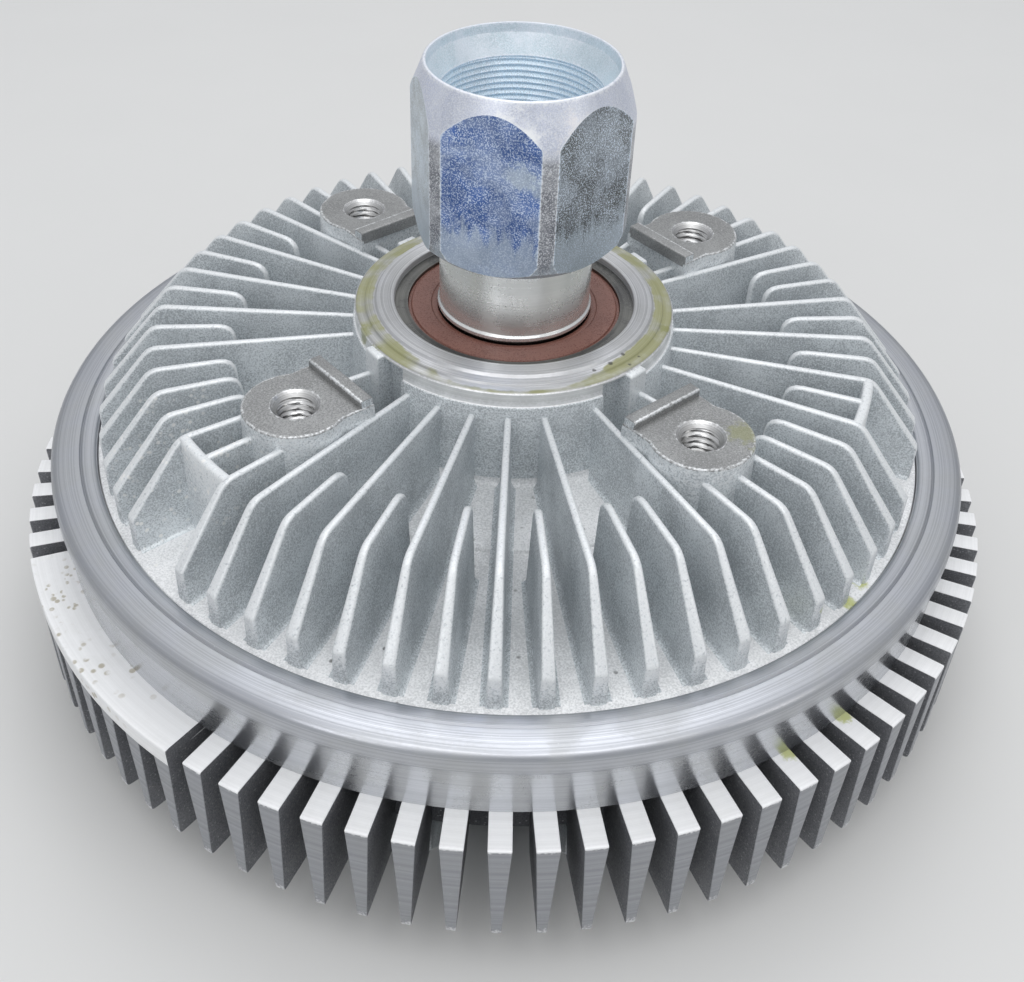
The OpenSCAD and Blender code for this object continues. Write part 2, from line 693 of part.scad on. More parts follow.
color(cast_grey) rear_housing();
color(cast_grey) front_cover();
cover_seal();
input_shaft();
bearing_outer_race();
bearing_inner_race();
bearing_balls();
bearing_cage();
bearing_seal_rear();
bearing_seal_front();
rotor_disc();
rotor_retaining_ring();
pump_plate();
plate_rivets();
valve_arm();
valve_shaft();
valve_shaft_seal();
valve_bush();
bimetal_coil();
coil_bracket();
bracket_screws();
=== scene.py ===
"""Looks of a viscous fan clutch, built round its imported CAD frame.

The two castings, the coupling and the bearing's seal are rebuilt as meshes with finished edges, roots and
threads, on the same sizes as the CAD solids that they stand for. The pieces inside keep their CAD meshes.
"""

import logging
import math
from collections.abc import Callable, Sequence
from dataclasses import dataclass, field
from enum import Enum
from typing import ClassVar

import bmesh
import bpy
import numpy as np
from mathutils import Matrix, Vector


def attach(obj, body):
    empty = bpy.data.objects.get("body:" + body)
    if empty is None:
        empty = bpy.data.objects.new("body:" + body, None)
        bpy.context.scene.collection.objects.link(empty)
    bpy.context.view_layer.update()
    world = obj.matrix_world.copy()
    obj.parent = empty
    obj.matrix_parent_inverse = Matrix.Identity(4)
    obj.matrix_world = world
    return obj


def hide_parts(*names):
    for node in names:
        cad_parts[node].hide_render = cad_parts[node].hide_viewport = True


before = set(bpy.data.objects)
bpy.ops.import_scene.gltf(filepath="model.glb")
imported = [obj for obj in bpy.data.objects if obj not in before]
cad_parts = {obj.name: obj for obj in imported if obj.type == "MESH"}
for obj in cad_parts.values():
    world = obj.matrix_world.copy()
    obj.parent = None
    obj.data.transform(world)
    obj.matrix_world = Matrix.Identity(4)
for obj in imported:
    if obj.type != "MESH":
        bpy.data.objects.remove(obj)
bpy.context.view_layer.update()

MM = 0.001
SIDES = 240

Points = np.ndarray
Half = Callable[[np.ndarray, np.ndarray], np.ndarray]
Colour = tuple[float, float, float]
Socket = bpy.types.NodeSocket
Node = bpy.types.ShaderNode
Number = float | Socket
log = logging.getLogger("fan_clutch")


# Mesh building


@dataclass
class Corner:
    """One corner of a section.

    Attributes:
        r: Distance from the axis in millimetres.
        z: Height in millimetres.
        turn: Radius of the rounded corner in millimetres.
        wear: How bare the edge is worn, from 0 to 1.
    """

    r: float
    z: float
    turn: float = 0.0
    wear: float = 0.0


def rounded(corners: Sequence[Corner], steps: int = 4, closed: bool = True) -> tuple[Points, Points]:
    """Rounds the corners of a section.

    Args:
        corners: The corners in order.
        steps: Number of segments in each rounded corner.
        closed: Whether the last corner joins the first.

    Returns:
        The points as rows of r and z, and the wear of each point.
    """
    places = np.array([(c.r, c.z) for c in corners], float)
    points, wear = [], []
    for i, corner in enumerate(corners):
        inner = closed or 0 < i < len(corners) - 1
        back = places[i - 1] - places[i]
        ahead = places[(i + 1) % len(places)] - places[i]
        lengths = np.hypot(*back), np.hypot(*ahead)
        if not inner or corner.turn <= 0 or min(lengths) < 1e-6:
            points.append(places[i])
            wear.append(corner.wear)
            continue
        back, ahead = back / lengths[0], ahead / lengths[1]
        half = math.acos(max(-1.0, min(1.0, float(back @ ahead)))) / 2
        reach = min(corner.turn / max(math.tan(half), 1e-3), 0.48 * min(lengths))
        start, end = places[i] + back * reach, places[i] + ahead * reach
        for t in np.linspace(0, 1, steps + 1):
            points.append((1 - t) ** 2 * start + 2 * t * (1 - t) * places[i] + t**2 * end)
            wear.append(corner.wear)
    return np.array(points), np.array(wear)


def banded(groups: Sequence[tuple[int, Sequence[Corner]]], steps: int = 4,
           closed: bool = True) -> tuple[Points, Points, list[int]]:
    """Rounds a section whose parts have different finishes.

    Args:
        groups: Finish number of the faces that follow each of its corners, and those corners.
        steps: Number of segments in each rounded corner.
        closed: Whether the last corner joins the first.

    Returns:
        The points as rows of r and z, and the wear and the finish number of each point.
    """
    corners = [corner for _, group in groups for corner in group]
    kinds = [kind for kind, group in groups for _ in group]
    numbered = [Corner(corner.r, corner.z, corner.turn, float(i)) for i, corner in enumerate(corners)]
    points, owners = rounded(numbered, steps, closed)
    owner = owners.astype(int)
    return points, np.array([corners[i].wear for i in owner]), [kinds[i] for i in owner]


def inset(outline: Points, amount: float) -> Points:
    """Moves each point of a closed outline inwards along its mitre.

    Args:
        outline: Points in order, as rows of two coordinates.
        amount: Distance to move.

    Returns:
        The moved outline.
    """
    ahead = np.roll(outline, -1, axis=0) - outline
    x, y = outline[:, 0], outline[:, 1]
    area = 0.5 * np.sum(x * np.roll(y, -1) - np.roll(x, -1) * y)
    normal = np.stack([-ahead[:, 1], ahead[:, 0]], 1) * np.sign(area)
    normal /= np.maximum(np.linalg.norm(normal, axis=1, keepdims=True), 1e-9)
    bisector = normal + np.roll(normal, 1, axis=0)
    length = np.maximum(np.linalg.norm(bisector, axis=1, keepdims=True), 0.5)
    return outline + 2 * bisector / length**2 * amount


@dataclass
class Shape:
    """Vertices, faces, finish numbers and wear, gathered before they become one mesh.

    Attributes:
        points: Blocks of vertices in millimetres.
        wear: Wear of each vertex, block by block.
        run: Distance along which turning marks lie at each vertex, block by block, in millimetres.
        faces: Vertex numbers of each face.
        finish: Number of each face's finish.
        count: Number of vertices so far.
    """

    points: list[Points] = field(default_factory=list)
    wear: list[Points] = field(default_factory=list)
    run: list[Points] = field(default_factory=list)
    faces: list[tuple[int, ...]] = field(default_factory=list)
    finish: list[int] = field(default_factory=list)
    count: int = 0

    def add_points(self, points: Points, wear: Points | float = 0.0, run: Points | None = None) -> int:
        """Adds vertices.

        Args:
            points: Array whose last axis is x, y and z in millimetres.
            wear: Wear of the vertices.
            run: Distance for the turning marks, or None for the distance along the clutch axis's own turning.

        Returns:
            The number of the first new vertex.
        """
        first = self.count
        flat = points.reshape(-1, 3)
        self.points.append(flat)
        self.wear.append(np.broadcast_to(np.asarray(wear, float), points.shape[:-1]).reshape(-1))
        own = np.hypot(flat[:, 0], flat[:, 1]) + flat[:, 2]
        self.run.append(own if run is None else np.broadcast_to(run, points.shape[:-1]).reshape(-1))
        self.count += len(flat)
        return first

    def add_grid(self, points: Points, finish: int | Sequence[int] | Points, wrap: tuple[bool, bool],
                 wear: Points | float = 0.0, run: Points | None = None) -> int:
        """Adds a sheet of four-sided faces.

        Args:
            points: Array of rows by columns by 3, in millimetres.
            finish: Finish number, or one for each column, or rows of them.
            wrap: Whether the rows, and the columns, close on themselves.
            wear: Wear of the vertices.
            run: Distance for the turning marks.

        Returns:
            The number of the first new vertex.
        """
        rows, columns = points.shape[:2]
        first = self.add_points(points, wear, run)
        numbers = first + np.arange(rows * columns).reshape(rows, columns)
        i = np.arange(rows if wrap[0] else rows - 1)
        j = np.arange(columns if wrap[1] else columns - 1)
        near, far = np.ix_(i, j), np.ix_((i + 1) % rows, j)
        near_next, far_next = np.ix_(i, (j + 1) % columns), np.ix_((i + 1) % rows, (j + 1) % columns)
        quads = np.stack([numbers[near], numbers[far], numbers[far_next], numbers[near_next]], -1)
        kinds = np.asarray(finish)
        if kinds.ndim > 0:
            kinds = kinds[j] if kinds.ndim == 1 else kinds[near]
        kinds = np.broadcast_to(kinds, quads.shape[:2])
        self.faces.extend(map(tuple, quads.reshape(-1, 4).tolist()))
        self.finish.extend(kinds.reshape(-1).tolist())
        return first

    def add_face(self, numbers: Sequence[int], finish: int) -> None:
        """Adds one face of any number of corners."""
        self.faces.append(tuple(numbers))
        self.finish.append(finish)

    def turn(self, section: Points, finish: int | Sequence[int], wear: Points | float = 0.0,
             closed: bool = True, span: tuple[float, float] | None = None,
             centre: tuple[float, float] = (0.0, 0.0), sides: int | Points = SIDES,
             bend: Callable[[Points, Points, Points], Points] | None = None) -> None:
        """Turns a section round an upright axis.

        Args:
            section: Points as rows of r and z.
            finish: Finish number, or one for each point.
            wear: Wear of each point.
            closed: Whether the section closes on itself. An open one closes at radius 0.
            span: First and last azimuth in degrees, or None for a whole turn.
            centre: Place of the axis in millimetres.
            sides: Number of sides in a whole turn, or the azimuths of a whole turn in degrees.
            bend: Gives the radius from azimuth, radius and height, for flats and threads.
        """
        whole = span is None
        if isinstance(sides, int):
            first, last = (0.0, 360.0) if whole else span
            steps = sides if whole else max(2, round(sides * (last - first) / 360))
            azimuth = np.radians(np.linspace(first, last, steps + 1))
            azimuth = (azimuth[:-1] if whole else azimuth)[:, None]
        else:
            azimuth = np.radians(sides)[:, None]
        r = np.broadcast_to(section[None, :, 0], (len(azimuth), len(section)))
        z = np.broadcast_to(section[None, :, 1], r.shape)
        if bend is not None:
            r = bend(azimuth, r, z)
        points = np.stack([centre[0] + r * np.cos(azimuth), centre[1] + r * np.sin(azimuth), z], -1)
        worn = np.broadcast_to(np.asarray(wear, float), (len(section),))[None, :]
        run = None if centre == (0.0, 0.0) else r + z
        start = self.add_grid(points, finish, (whole, closed), np.broadcast_to(worn, r.shape), run)
        columns = len(section)
        kind = finish if isinstance(finish, int) else finish[0]
        if not whole:
            self.add_face([start + j for j in range(columns)], kind)
            self.add_face([start + (len(azimuth) - 1) * columns + j for j in range(columns)], kind)

    def plate(self, corners: Sequence[Corner], half: Half, edge: float, finish: int, arched: bool = False,
              rim: Sequence[int] | None = None) -> None:
        """Makes an upright radial plate with rounded edges, standing on the plane of X and Z.

        Args:
            corners: Outline of the plate as r and z.
            half: Half of the thickness at each radius and height.
            edge: Radius of the rounded edges.
            finish: Finish number of the sides.
            arched: Whether the plate's ends follow circles round the axis.
            rim: Finish numbers of the rim after each corner, or None for that of the sides.
        """
        around = [finish] * len(corners) if rim is None else rim
        outline, wear, kinds = banded([(kind, [corner]) for kind, corner in zip(around, corners)])
        rows, worn = [], []
        room = 0.7 * min(c.turn for c in corners if c.turn > 0)
        fade = max(0.05, min(0.5, room - edge))
        for angle in np.radians([0, 30, 60, 90, 91]):
            deep = edge * (1 - math.cos(min(angle, math.pi / 2))) + (fade if angle > math.pi / 2 else 0)
            place = inset(outline, deep)
            thick = half(place[:, 0], place[:, 1])
            radius = np.minimum(edge, thick * 0.98)
            y = thick - radius * (1 - math.sin(min(angle, math.pi / 2)))
            rows.append(np.stack([place[:, 0], y, place[:, 1]], 1))
            worn.append(wear * (0.0 if angle > math.pi / 2 else 0.35 if angle == math.pi / 2 else 1.0))
        flipped = [row * np.array([1, -1, 1]) for row in rows]
        points = np.array(rows[::-1] + flipped)
        if arched:
            points[..., 0] = np.sqrt(np.maximum(points[..., 0] ** 2 - points[..., 1] ** 2, 0))
        start = self.add_points(points, np.array(worn[::-1] + worn))
        columns = len(outline)
        for i in range(len(points) - 1):
            on_rim = 1 <= i <= len(points) - 3
            for j in range(columns):
                a, b = start + i * columns + j, start + i * columns + (j + 1) % columns
                self.add_face((a, b, b + columns, a + columns), kinds[j] if on_rim else finish)
        self.add_face(range(start, start + columns), finish)
        last = start + (len(points) - 1) * columns
        self.add_face(range(last, last + columns), finish)

    def cove(self, path: Points, half: Half, radius: float, finish: int) -> None:
        """Fills the root of a radial plate with a hollow fillet on both sides.

        Args:
            path: Root line as rows of r and z.
            half: Half of the plate's thickness at each radius and height.
            radius: Radius of the fillet.
            finish: Finish number.
        """
        for side in (-1, 1):
            rows = []
            for r, z in path:
                heights = np.array([z, z + radius])
                foot, top = half(np.array([r, r]), heights)
                ring = [(foot - 0.4, z - 0.3), (foot + radius, z - 0.15)]
                for angle in np.radians([270, 247, 225, 202, 180]):
                    lean = (foot - top) * (1 + math.sin(angle))
                    across = foot + radius + radius * math.cos(angle) - lean
                    ring.append((across, z + radius + radius * math.sin(angle)))
                ring.append((top - 0.4, z + radius))
                rows.append([(r, side * y, height) for y, height in ring])
            points = np.array(rows)
            start = self.add_grid(points, finish, (False, True))
            columns = points.shape[1]
            self.add_face(range(start, start + columns), finish)
            last = start + (len(path) - 1) * columns
            self.add_face(range(last, last + columns), finish)

    def place(self, other: "Shape", azimuth: float) -> None:
        """Adds a copy of another shape, turned about the clutch axis by an azimuth in degrees."""
        c, s = math.cos(math.radians(azimuth)), math.sin(math.radians(azimuth))
        turning = np.array([[c, s, 0], [-s, c, 0], [0, 0, 1]])
        first = self.count
        for points, wear, run in zip(other.points, other.wear, other.run):
            self.points.append(points @ turning)
            self.wear.append(wear)
            self.run.append(run)
            self.count += len(points)
        self.faces.extend(tuple(first + n for n in face) for face in other.faces)
        self.finish.extend(other.finish)

    def piece(self, name: str, body: str, nodes: Sequence[str], slot: str,
              finishes: Sequence[bpy.types.Material], sharp: float) -> bpy.types.Object:
        """Turns the shape into a piece that rides on a CAD body and stands for CAD nodes.

        Args:
            name: Name of the piece.
            body: Name of the CAD body.
            nodes: CAD nodes that the piece stands for.
            slot: Material slot of the record; not used.
            finishes: Materials by finish number.
            sharp: Angle in degrees from which an edge shades as sharp.

        Returns:
            The new object.
        """
        mesh = bpy.data.meshes.new(name)
        mesh.from_pydata((np.concatenate(self.points) * MM).tolist(), [], self.faces)
        mesh.polygons.foreach_set("material_index", self.finish)
        for label, values in (("wear", self.wear), ("run", self.run)):
            layer = mesh.attributes.new(label, "FLOAT", "POINT")
            layer.data.foreach_set("value", np.concatenate(values).astype(np.float32))
        work = bmesh.new()
        work.from_mesh(mesh)
        bmesh.ops.remove_doubles(work, verts=work.verts, dist=1e-7)
        bmesh.ops.recalc_face_normals(work, faces=work.faces)
        work.to_mesh(mesh)
        work.free()
        mesh.polygons.foreach_set("use_smooth", [True] * len(mesh.polygons))
        mesh.set_sharp_from_angle(angle=math.radians(sharp))
        for material in finishes:
            mesh.materials.append(material)
        thing = bpy.data.objects.new(name, mesh)
        bpy.context.scene.collection.objects.link(thing)
        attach(thing, body)
        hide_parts(*nodes)
        return thing


# Shader building


class Tree:
    """Short calls that add nodes to one shader tree."""

    def __init__(self, tree: bpy.types.ShaderNodeTree) -> None:
        """Keeps the tree that the calls add to."""
        self.tree = tree

    def add(self, kind: str, inputs: dict[str, object] | None = None, **settings: object) -> Node:
        """Adds a node.

        Args:
            kind: Blender's name of the node type.
            inputs: Values or sockets for its inputs, by name.
            settings: Properties of the node.

        Returns:
            The node.
        """
        node = self.tree.nodes.new(kind)
        for name, value in settings.items():
            setattr(node, name, value)
        for name, value in (inputs or {}).items():
            self.feed(node.inputs[name], value)
        return node

    def feed(self, socket: Socket, value: object) -> None:
        """Links a socket to an input, or sets the input's value."""
        if isinstance(value, Socket):
            self.tree.links.new(value, socket)
        else:
            socket.default_value = value

    def math(self, operation: str, a: Number, b: Number = 0.0) -> Socket:
        """Adds a Math node and gives its result."""
        node = self.add("ShaderNodeMath", operation=operation)
        for socket, value in zip(node.inputs, (a, b)):
            self.feed(socket, value)
        return node.outputs[0]

    def times(self, a: Number, b: Number) -> Socket:
        """Multiplies two values."""
        return self.math("MULTIPLY", a, b)

    def plus(self, a: Number, b: Number) -> Socket:
        """Adds two values."""
        return self.math("ADD", a, b)

    def less(self, a: Number, b: Number) -> Socket:
        """Takes the second value from the first."""
        return self.math("SUBTRACT", a, b)

    def over(self, a: Number, b: Number) -> Socket:
        """Divides the first value by the second."""
        return self.math("DIVIDE", a, b)

    def vector(self, operation: str, a: Socket, b: object = None) -> Node:
        """Adds a Vector Math node for one place, or for two."""
        node = self.add("ShaderNodeVectorMath", operation=operation)
        self.feed(node.inputs[0], a)
        if b is not None:
            self.feed(node.inputs[1], b)
        return node

    def polar(self, place: Socket) -> tuple[Socket, Socket, Socket]:
        """Gives the distance of a place from the Z axis, its x and its z."""
        parts = self.add("ShaderNodeSeparateXYZ", {"Vector": place}).outputs
        flat = self.add("ShaderNodeCombineXYZ", {"X": parts["X"], "Y": parts["Y"]})
        return self.vector("LENGTH", flat.outputs[0]).outputs["Value"], parts["X"], parts["Z"]

    def span(self, value: Number, low: float, high: float, to_low: Number = 0.0,
             to_high: Number = 1.0) -> Socket:
        """Maps a value smoothly from one range to another and clamps it."""
        node = self.add("ShaderNodeMapRange", interpolation_type="SMOOTHSTEP")
        for socket, entry in zip(node.inputs, (value, low, high, to_low, to_high)):
            self.feed(socket, entry)
        return node.outputs[0]

    def blend(self, factor: Number, a: object, b: object, mode: str = "MIX") -> Socket:
        """Mixes two colours and gives the result."""
        node = self.add("ShaderNodeMix", data_type="RGBA", blend_type=mode)
        self.feed(node.inputs[0], factor)
        self.feed(node.inputs[6], (*a, 1.0) if isinstance(a, tuple) else a)
        self.feed(node.inputs[7], (*b, 1.0) if isinstance(b, tuple) else b)
        return node.outputs[2]

    def scale(self, size: Number) -> Number:
        """Gives a texture's scale for grains of a size in millimetres."""
        return self.over(1.0, size) if isinstance(size, Socket) else 1.0 / size

    def noise(self, place: Socket, size: Number, detail: float = 3.0, distort: float = 0.0) -> Socket:
        """Adds noise whose grains have a size in millimetres, and gives its value."""
        values = {"Vector": place, "Scale": self.scale(size), "Detail": detail, "Distortion": distort}
        return self.add("ShaderNodeTexNoise", values).outputs[0]

    def lines(self, run: Socket, scale: float) -> Socket:
        """Adds noise along one distance, and gives its value."""
        values = {"W": run, "Scale": scale, "Detail": 2.0}
        return self.add("ShaderNodeTexNoise", values, noise_dimensions="1D").outputs[0]

    def cells(self, place: Socket, size: Number) -> Socket:
        """Adds cells of a size in millimetres, and gives the distance from their middles."""
        values = {"Vector": place, "Scale": self.scale(size)}
        return self.add("ShaderNodeTexVoronoi", values).outputs["Distance"]

    def millimetres(self) -> Socket:
        """Gives the place on the object in millimetres."""
        scaled = self.vector("SCALE", self.add("ShaderNodeTexCoord").outputs["Object"])
        scaled.inputs["Scale"].default_value = 1 / MM
        return scaled.outputs[0]

    def worn(self, name: str) -> Socket:
        """Gives a value that the mesh holds at its vertices."""
        return self.add("ShaderNodeAttribute", attribute_name=name).outputs["Fac"]

    def bump(self, height: Socket, depth: float) -> Socket:
        """Turns a height from 0 to 1 into a normal, for a depth in millimetres."""
        node = self.add("ShaderNodeBump", {"Strength": 1.0, "Distance": depth * MM, "Height": height})
        return node.outputs["Normal"]


class Effect(Enum):
    """Effects that several finishes share, each built once as a node group."""

    CAST_SKIN = "cast_skin"
    TURNING = "turning_marks"
    EDGE_WEAR = "edge_wear"
    SMUDGE = "smudge"
    RAGGED = "ragged"
    PAINT_MARK = "paint_mark"
    SPATTER = "spatter"
    PAINT_RING = "paint_ring"


@dataclass
class Effects:
    """Builds the shared node groups once and places them in materials."""

    groups: dict[Effect, bpy.types.ShaderNodeTree] = field(default_factory=dict)

    def build(self) -> None:
        """Builds every group."""
        self._cast_skin()
        self._turning()
        self._edge_wear()
        self._smudge()
        self._ragged()
        self._paint_mark()
        self._spatter()
        self._paint_ring()

    def use(self, tree: Tree, effect: Effect, inputs: dict[str, object]) -> Node:
        """Places a group in a tree.

        Args:
            tree: Tree of the material.
            effect: The effect to place.
            inputs: Values or sockets for the group's inputs, by name.

        Returns:
            The group node.
        """
        node = tree.tree.nodes.new("ShaderNodeGroup")
        node.node_tree = self.groups[effect]
        for name, value in inputs.items():
            tree.feed(node.inputs[name], value)
        return node

    def _start(self, effect: Effect, inputs: Sequence[tuple[str, str]],
               outputs: Sequence[str]) -> tuple[Tree, Node, Node]:
        """Starts a group with its sockets.

        Args:
            effect: The effect that the group makes.
            inputs: Name and kind of each input.
            outputs: Name of each output value.

        Returns:
            The group's tree, its input node and its output node.
        """
        group = bpy.data.node_groups.new(effect.value, "ShaderNodeTree")
        for name, kind in inputs:
            group.interface.new_socket(name=name, in_out="INPUT", socket_type=f"NodeSocket{kind}")
        for name in outputs:
            group.interface.new_socket(name=name, in_out="OUTPUT", socket_type="NodeSocketFloat")
        self.groups[effect] = group
        tree = Tree(group)
        return tree, tree.add("NodeGroupInput"), tree.add("NodeGroupOutput")

    def _cast_skin(self) -> None:
        """Blasted cast skin: grain, uneven tone and bright specks."""
        tree, given, put = self._start(Effect.CAST_SKIN, [("Grain", "Float")], ["Height", "Tone", "Speck"])
        place = tree.millimetres()
        grain = given.outputs["Grain"]
        fine = tree.noise(place, grain, 4.0)
        pits = tree.cells(place, tree.times(grain, 1.7))
        tree.feed(put.inputs["Height"], tree.plus(tree.times(fine, 0.6), tree.times(pits, 0.5)))
        broad = tree.noise(place, 9.0, 3.0)
        tone = tree.plus(tree.times(broad, 0.3), tree.times(fine, 0.7))
        tree.feed(put.inputs["Tone"], tree.span(tone, 0.37, 0.63))
        spots = tree.cells(place, tree.times(grain, 3.1))
        tree.feed(put.inputs["Speck"], tree.span(spots, 0.24, 0.1))

    def _turning(self) -> None:
        """Fine marks that a lathe tool leaves, along the distance that the mesh or the place gives."""
        sockets = [("Pitch", "Float"), ("From Mesh", "Float")]
        tree, given, put = self._start(Effect.TURNING, sockets, ["Height", "Tone"])
        place = tree.millimetres()
        radius, _, height = tree.polar(place)
        own = tree.plus(radius, height)
        mesh_part = tree.times(tree.worn("run"), given.outputs["From Mesh"])
        own_part = tree.times(own, tree.less(1.0, given.outputs["From Mesh"]))
        run = tree.over(tree.plus(mesh_part, own_part), given.outputs["Pitch"])
        run = tree.plus(run, tree.times(tree.noise(place, 14.0, 1.0), 0.8))
        fine, broad = tree.lines(run, 1.0), tree.lines(run, 0.17)
        tree.feed(put.inputs["Height"], tree.plus(tree.times(fine, 0.7), tree.times(broad, 0.3)))
        tree.feed(put.inputs["Tone"], tree.span(tree.plus(fine, broad), 0.7, 1.3))

    def _edge_wear(self) -> None:
        """Bare edges, broken up by grain, where the mesh says that an edge is worn."""
        tree, given, put = self._start(Effect.EDGE_WEAR, [("Spread", "Float")], ["Mask"])
        place = tree.millimetres()
        patchy = tree.times(tree.less(tree.noise(place, 0.5, 3.0), 0.5), 2.2)
        level = tree.plus(tree.worn("wear"), tree.less(given.outputs["Spread"], 1.0))
        tree.feed(put.inputs["Mask"], tree.span(tree.plus(level, patchy), 0.2, 0.9))

    def _smudge(self) -> None:
        """Dull patches and faint wipes from handling."""
        tree, given, put = self._start(Effect.SMUDGE, [("Size", "Float")], ["Mask"])
        place = tree.millimetres()
        patch = tree.noise(place, given.outputs["Size"], 4.0, 0.6)
        fine = tree.noise(place, 0.6, 1.0)
        tree.feed(put.inputs["Mask"], tree.span(tree.plus(patch, tree.times(fine, 0.25)), 0.5, 0.82))

    def _ragged(self) -> None:
        """Unevenness that breaks up the outline of marks."""
        tree, _, put = self._start(Effect.RAGGED, [], ["Value"])
        place = tree.millimetres()
        broad, fine = tree.noise(place, 2.2, 3.0), tree.noise(place, 0.5, 1.0)
        tree.feed(put.inputs["Value"], tree.plus(broad, tree.times(fine, 0.5)))

    def _paint_mark(self) -> None:
        """A ragged mark round a place."""
        sockets = [("Centre", "Vector"), ("Size", "Float"), ("Ragged", "Float")]
        tree, given, put = self._start(Effect.PAINT_MARK, sockets, ["Mask"])
        gap = tree.vector("DISTANCE", tree.millimetres(), given.outputs["Centre"]).outputs["Value"]
        share = tree.over(gap, given.outputs["Size"])
        tree.feed(put.inputs["Mask"], tree.span(tree.plus(share, given.outputs["Ragged"]), 1.45, 1.05))

    def _spatter(self) -> None:
        """Scattered dots round a place."""
        sockets = [("Centre", "Vector"), ("Size", "Float"), ("Dot", "Float")]
        tree, given, put = self._start(Effect.SPATTER, sockets, ["Mask"])
        place = tree.millimetres()
        gap = tree.vector("DISTANCE", place, given.outputs["Centre"]).outputs["Value"]
        near = tree.span(tree.over(gap, given.outputs["Size"]), 1.0, 0.45)
        dots = tree.span(tree.cells(place, tree.times(given.outputs["Dot"], 2.4)), 0.34, 0.2)
        chosen = tree.span(tree.noise(place, tree.times(given.outputs["Dot"], 5.0), 2.0), 0.47, 0.6)
        tree.feed(put.inputs["Mask"], tree.times(tree.times(dots, chosen), near))

    def _paint_ring(self) -> None:
        """A ring of thin paint that is broader at the sides than in front and behind."""
        sockets = [("Inner", "Float"), ("Outer", "Float"), ("Low", "Float")]
        tree, given, put = self._start(Effect.PAINT_RING, sockets, ["Mask"])
        place = tree.millimetres()
        radius, across, height = tree.polar(place)
        aside = tree.over(tree.math("ABSOLUTE", across), radius)
        wide = tree.less(given.outputs["Outer"], given.outputs["Inner"])
        narrow = tree.times(wide, tree.span(aside, 0.25, 0.8, 0.78, 0.0))
        ragged = tree.times(tree.less(tree.noise(place, 3.0, 4.0), 0.5), 1.6)
        depth = tree.less(radius, tree.plus(given.outputs["Inner"], narrow))
        inside = tree.span(tree.plus(depth, ragged), -0.15, 0.35)
        within = tree.span(tree.less(radius, given.outputs["Outer"]), 0.1, -0.1)
        above = tree.span(tree.less(height, given.outputs["Low"]), -0.05, 0.05)
        cover = tree.span(tree.noise(place, 6.0, 3.0), 0.3, 0.62, 0.15, 1.0)
        mask = tree.times(tree.times(inside, within), tree.times(above, cover))
        tree.feed(put.inputs["Mask"], mask)


@dataclass(frozen=True)
class Mark:
    """A mark of paint, dirt or powder, or a painted highlight.

    Attributes:
        at: Place in millimetres.
        size: Radius in millimetres.
        colour: Colour of the mark.
        cover: How much of the metal it hides, from 0 to 1.
        dot: Size of its dots in millimetres, or 0 for one ragged patch.
    """

    at: tuple[float, float, float]
    size: float
    colour: Colour = (0.42, 0.46, 0.06)
    cover: float = 0.75
    dot: float = 0.0


GRIT: Colour = (0.05, 0.05, 0.045)


class Finish:
    """Base of all finishes: makes a material and links what they share."""

    name: str
    metal: float
    marks: tuple[Mark, ...]

    def material(self, effects: Effects) -> bpy.types.Material:
        """Makes the material from the shared effects."""
        raise NotImplementedError

    def open(self) -> tuple[bpy.types.Material, Tree, Node]:
        """Makes an empty material.

        Returns:
            The material, its tree and its shader.
        """
        material = bpy.data.materials.new(self.name)
        material.use_nodes = True
        tree = Tree(material.node_tree)
        return material, tree, material.node_tree.nodes["Principled BSDF"]

    def paint(self, tree: Tree, effects: Effects, colour: Socket, shader: Node,
              covered: Socket | None = None) -> None:
        """Adds the marks over a colour, and feeds the shader's colour and metal.

        Args:
            tree: Tree of the material.
            effects: The shared node groups.
            colour: Colour under the marks.
            shader: The shader, whose metal the marks cover.
            covered: Share of the metal that paint already covers.
        """
        ragged = effects.use(tree, Effect.RAGGED, {}).outputs["Value"] if self.marks else None
        for mark in self.marks:
            values = {"Centre": mark.at, "Size": mark.size}
            if mark.dot > 0:
                node = effects.use(tree, Effect.SPATTER, {**values, "Dot": mark.dot})
            else:
                node = effects.use(tree, Effect.PAINT_MARK, {**values, "Ragged": ragged})
            share = tree.times(node.outputs["Mask"], mark.cover)
            colour = tree.blend(share, colour, mark.colour)
            covered = share if covered is None else tree.math("MAXIMUM", covered, share)
        tree.feed(shader.inputs["Base Color"], colour)
        if covered is None:
            shader.inputs["Metallic"].default_value = self.metal
        else:
            tree.feed(shader.inputs["Metallic"], tree.span(covered, 0.0, 1.0, self.metal, 0.05))


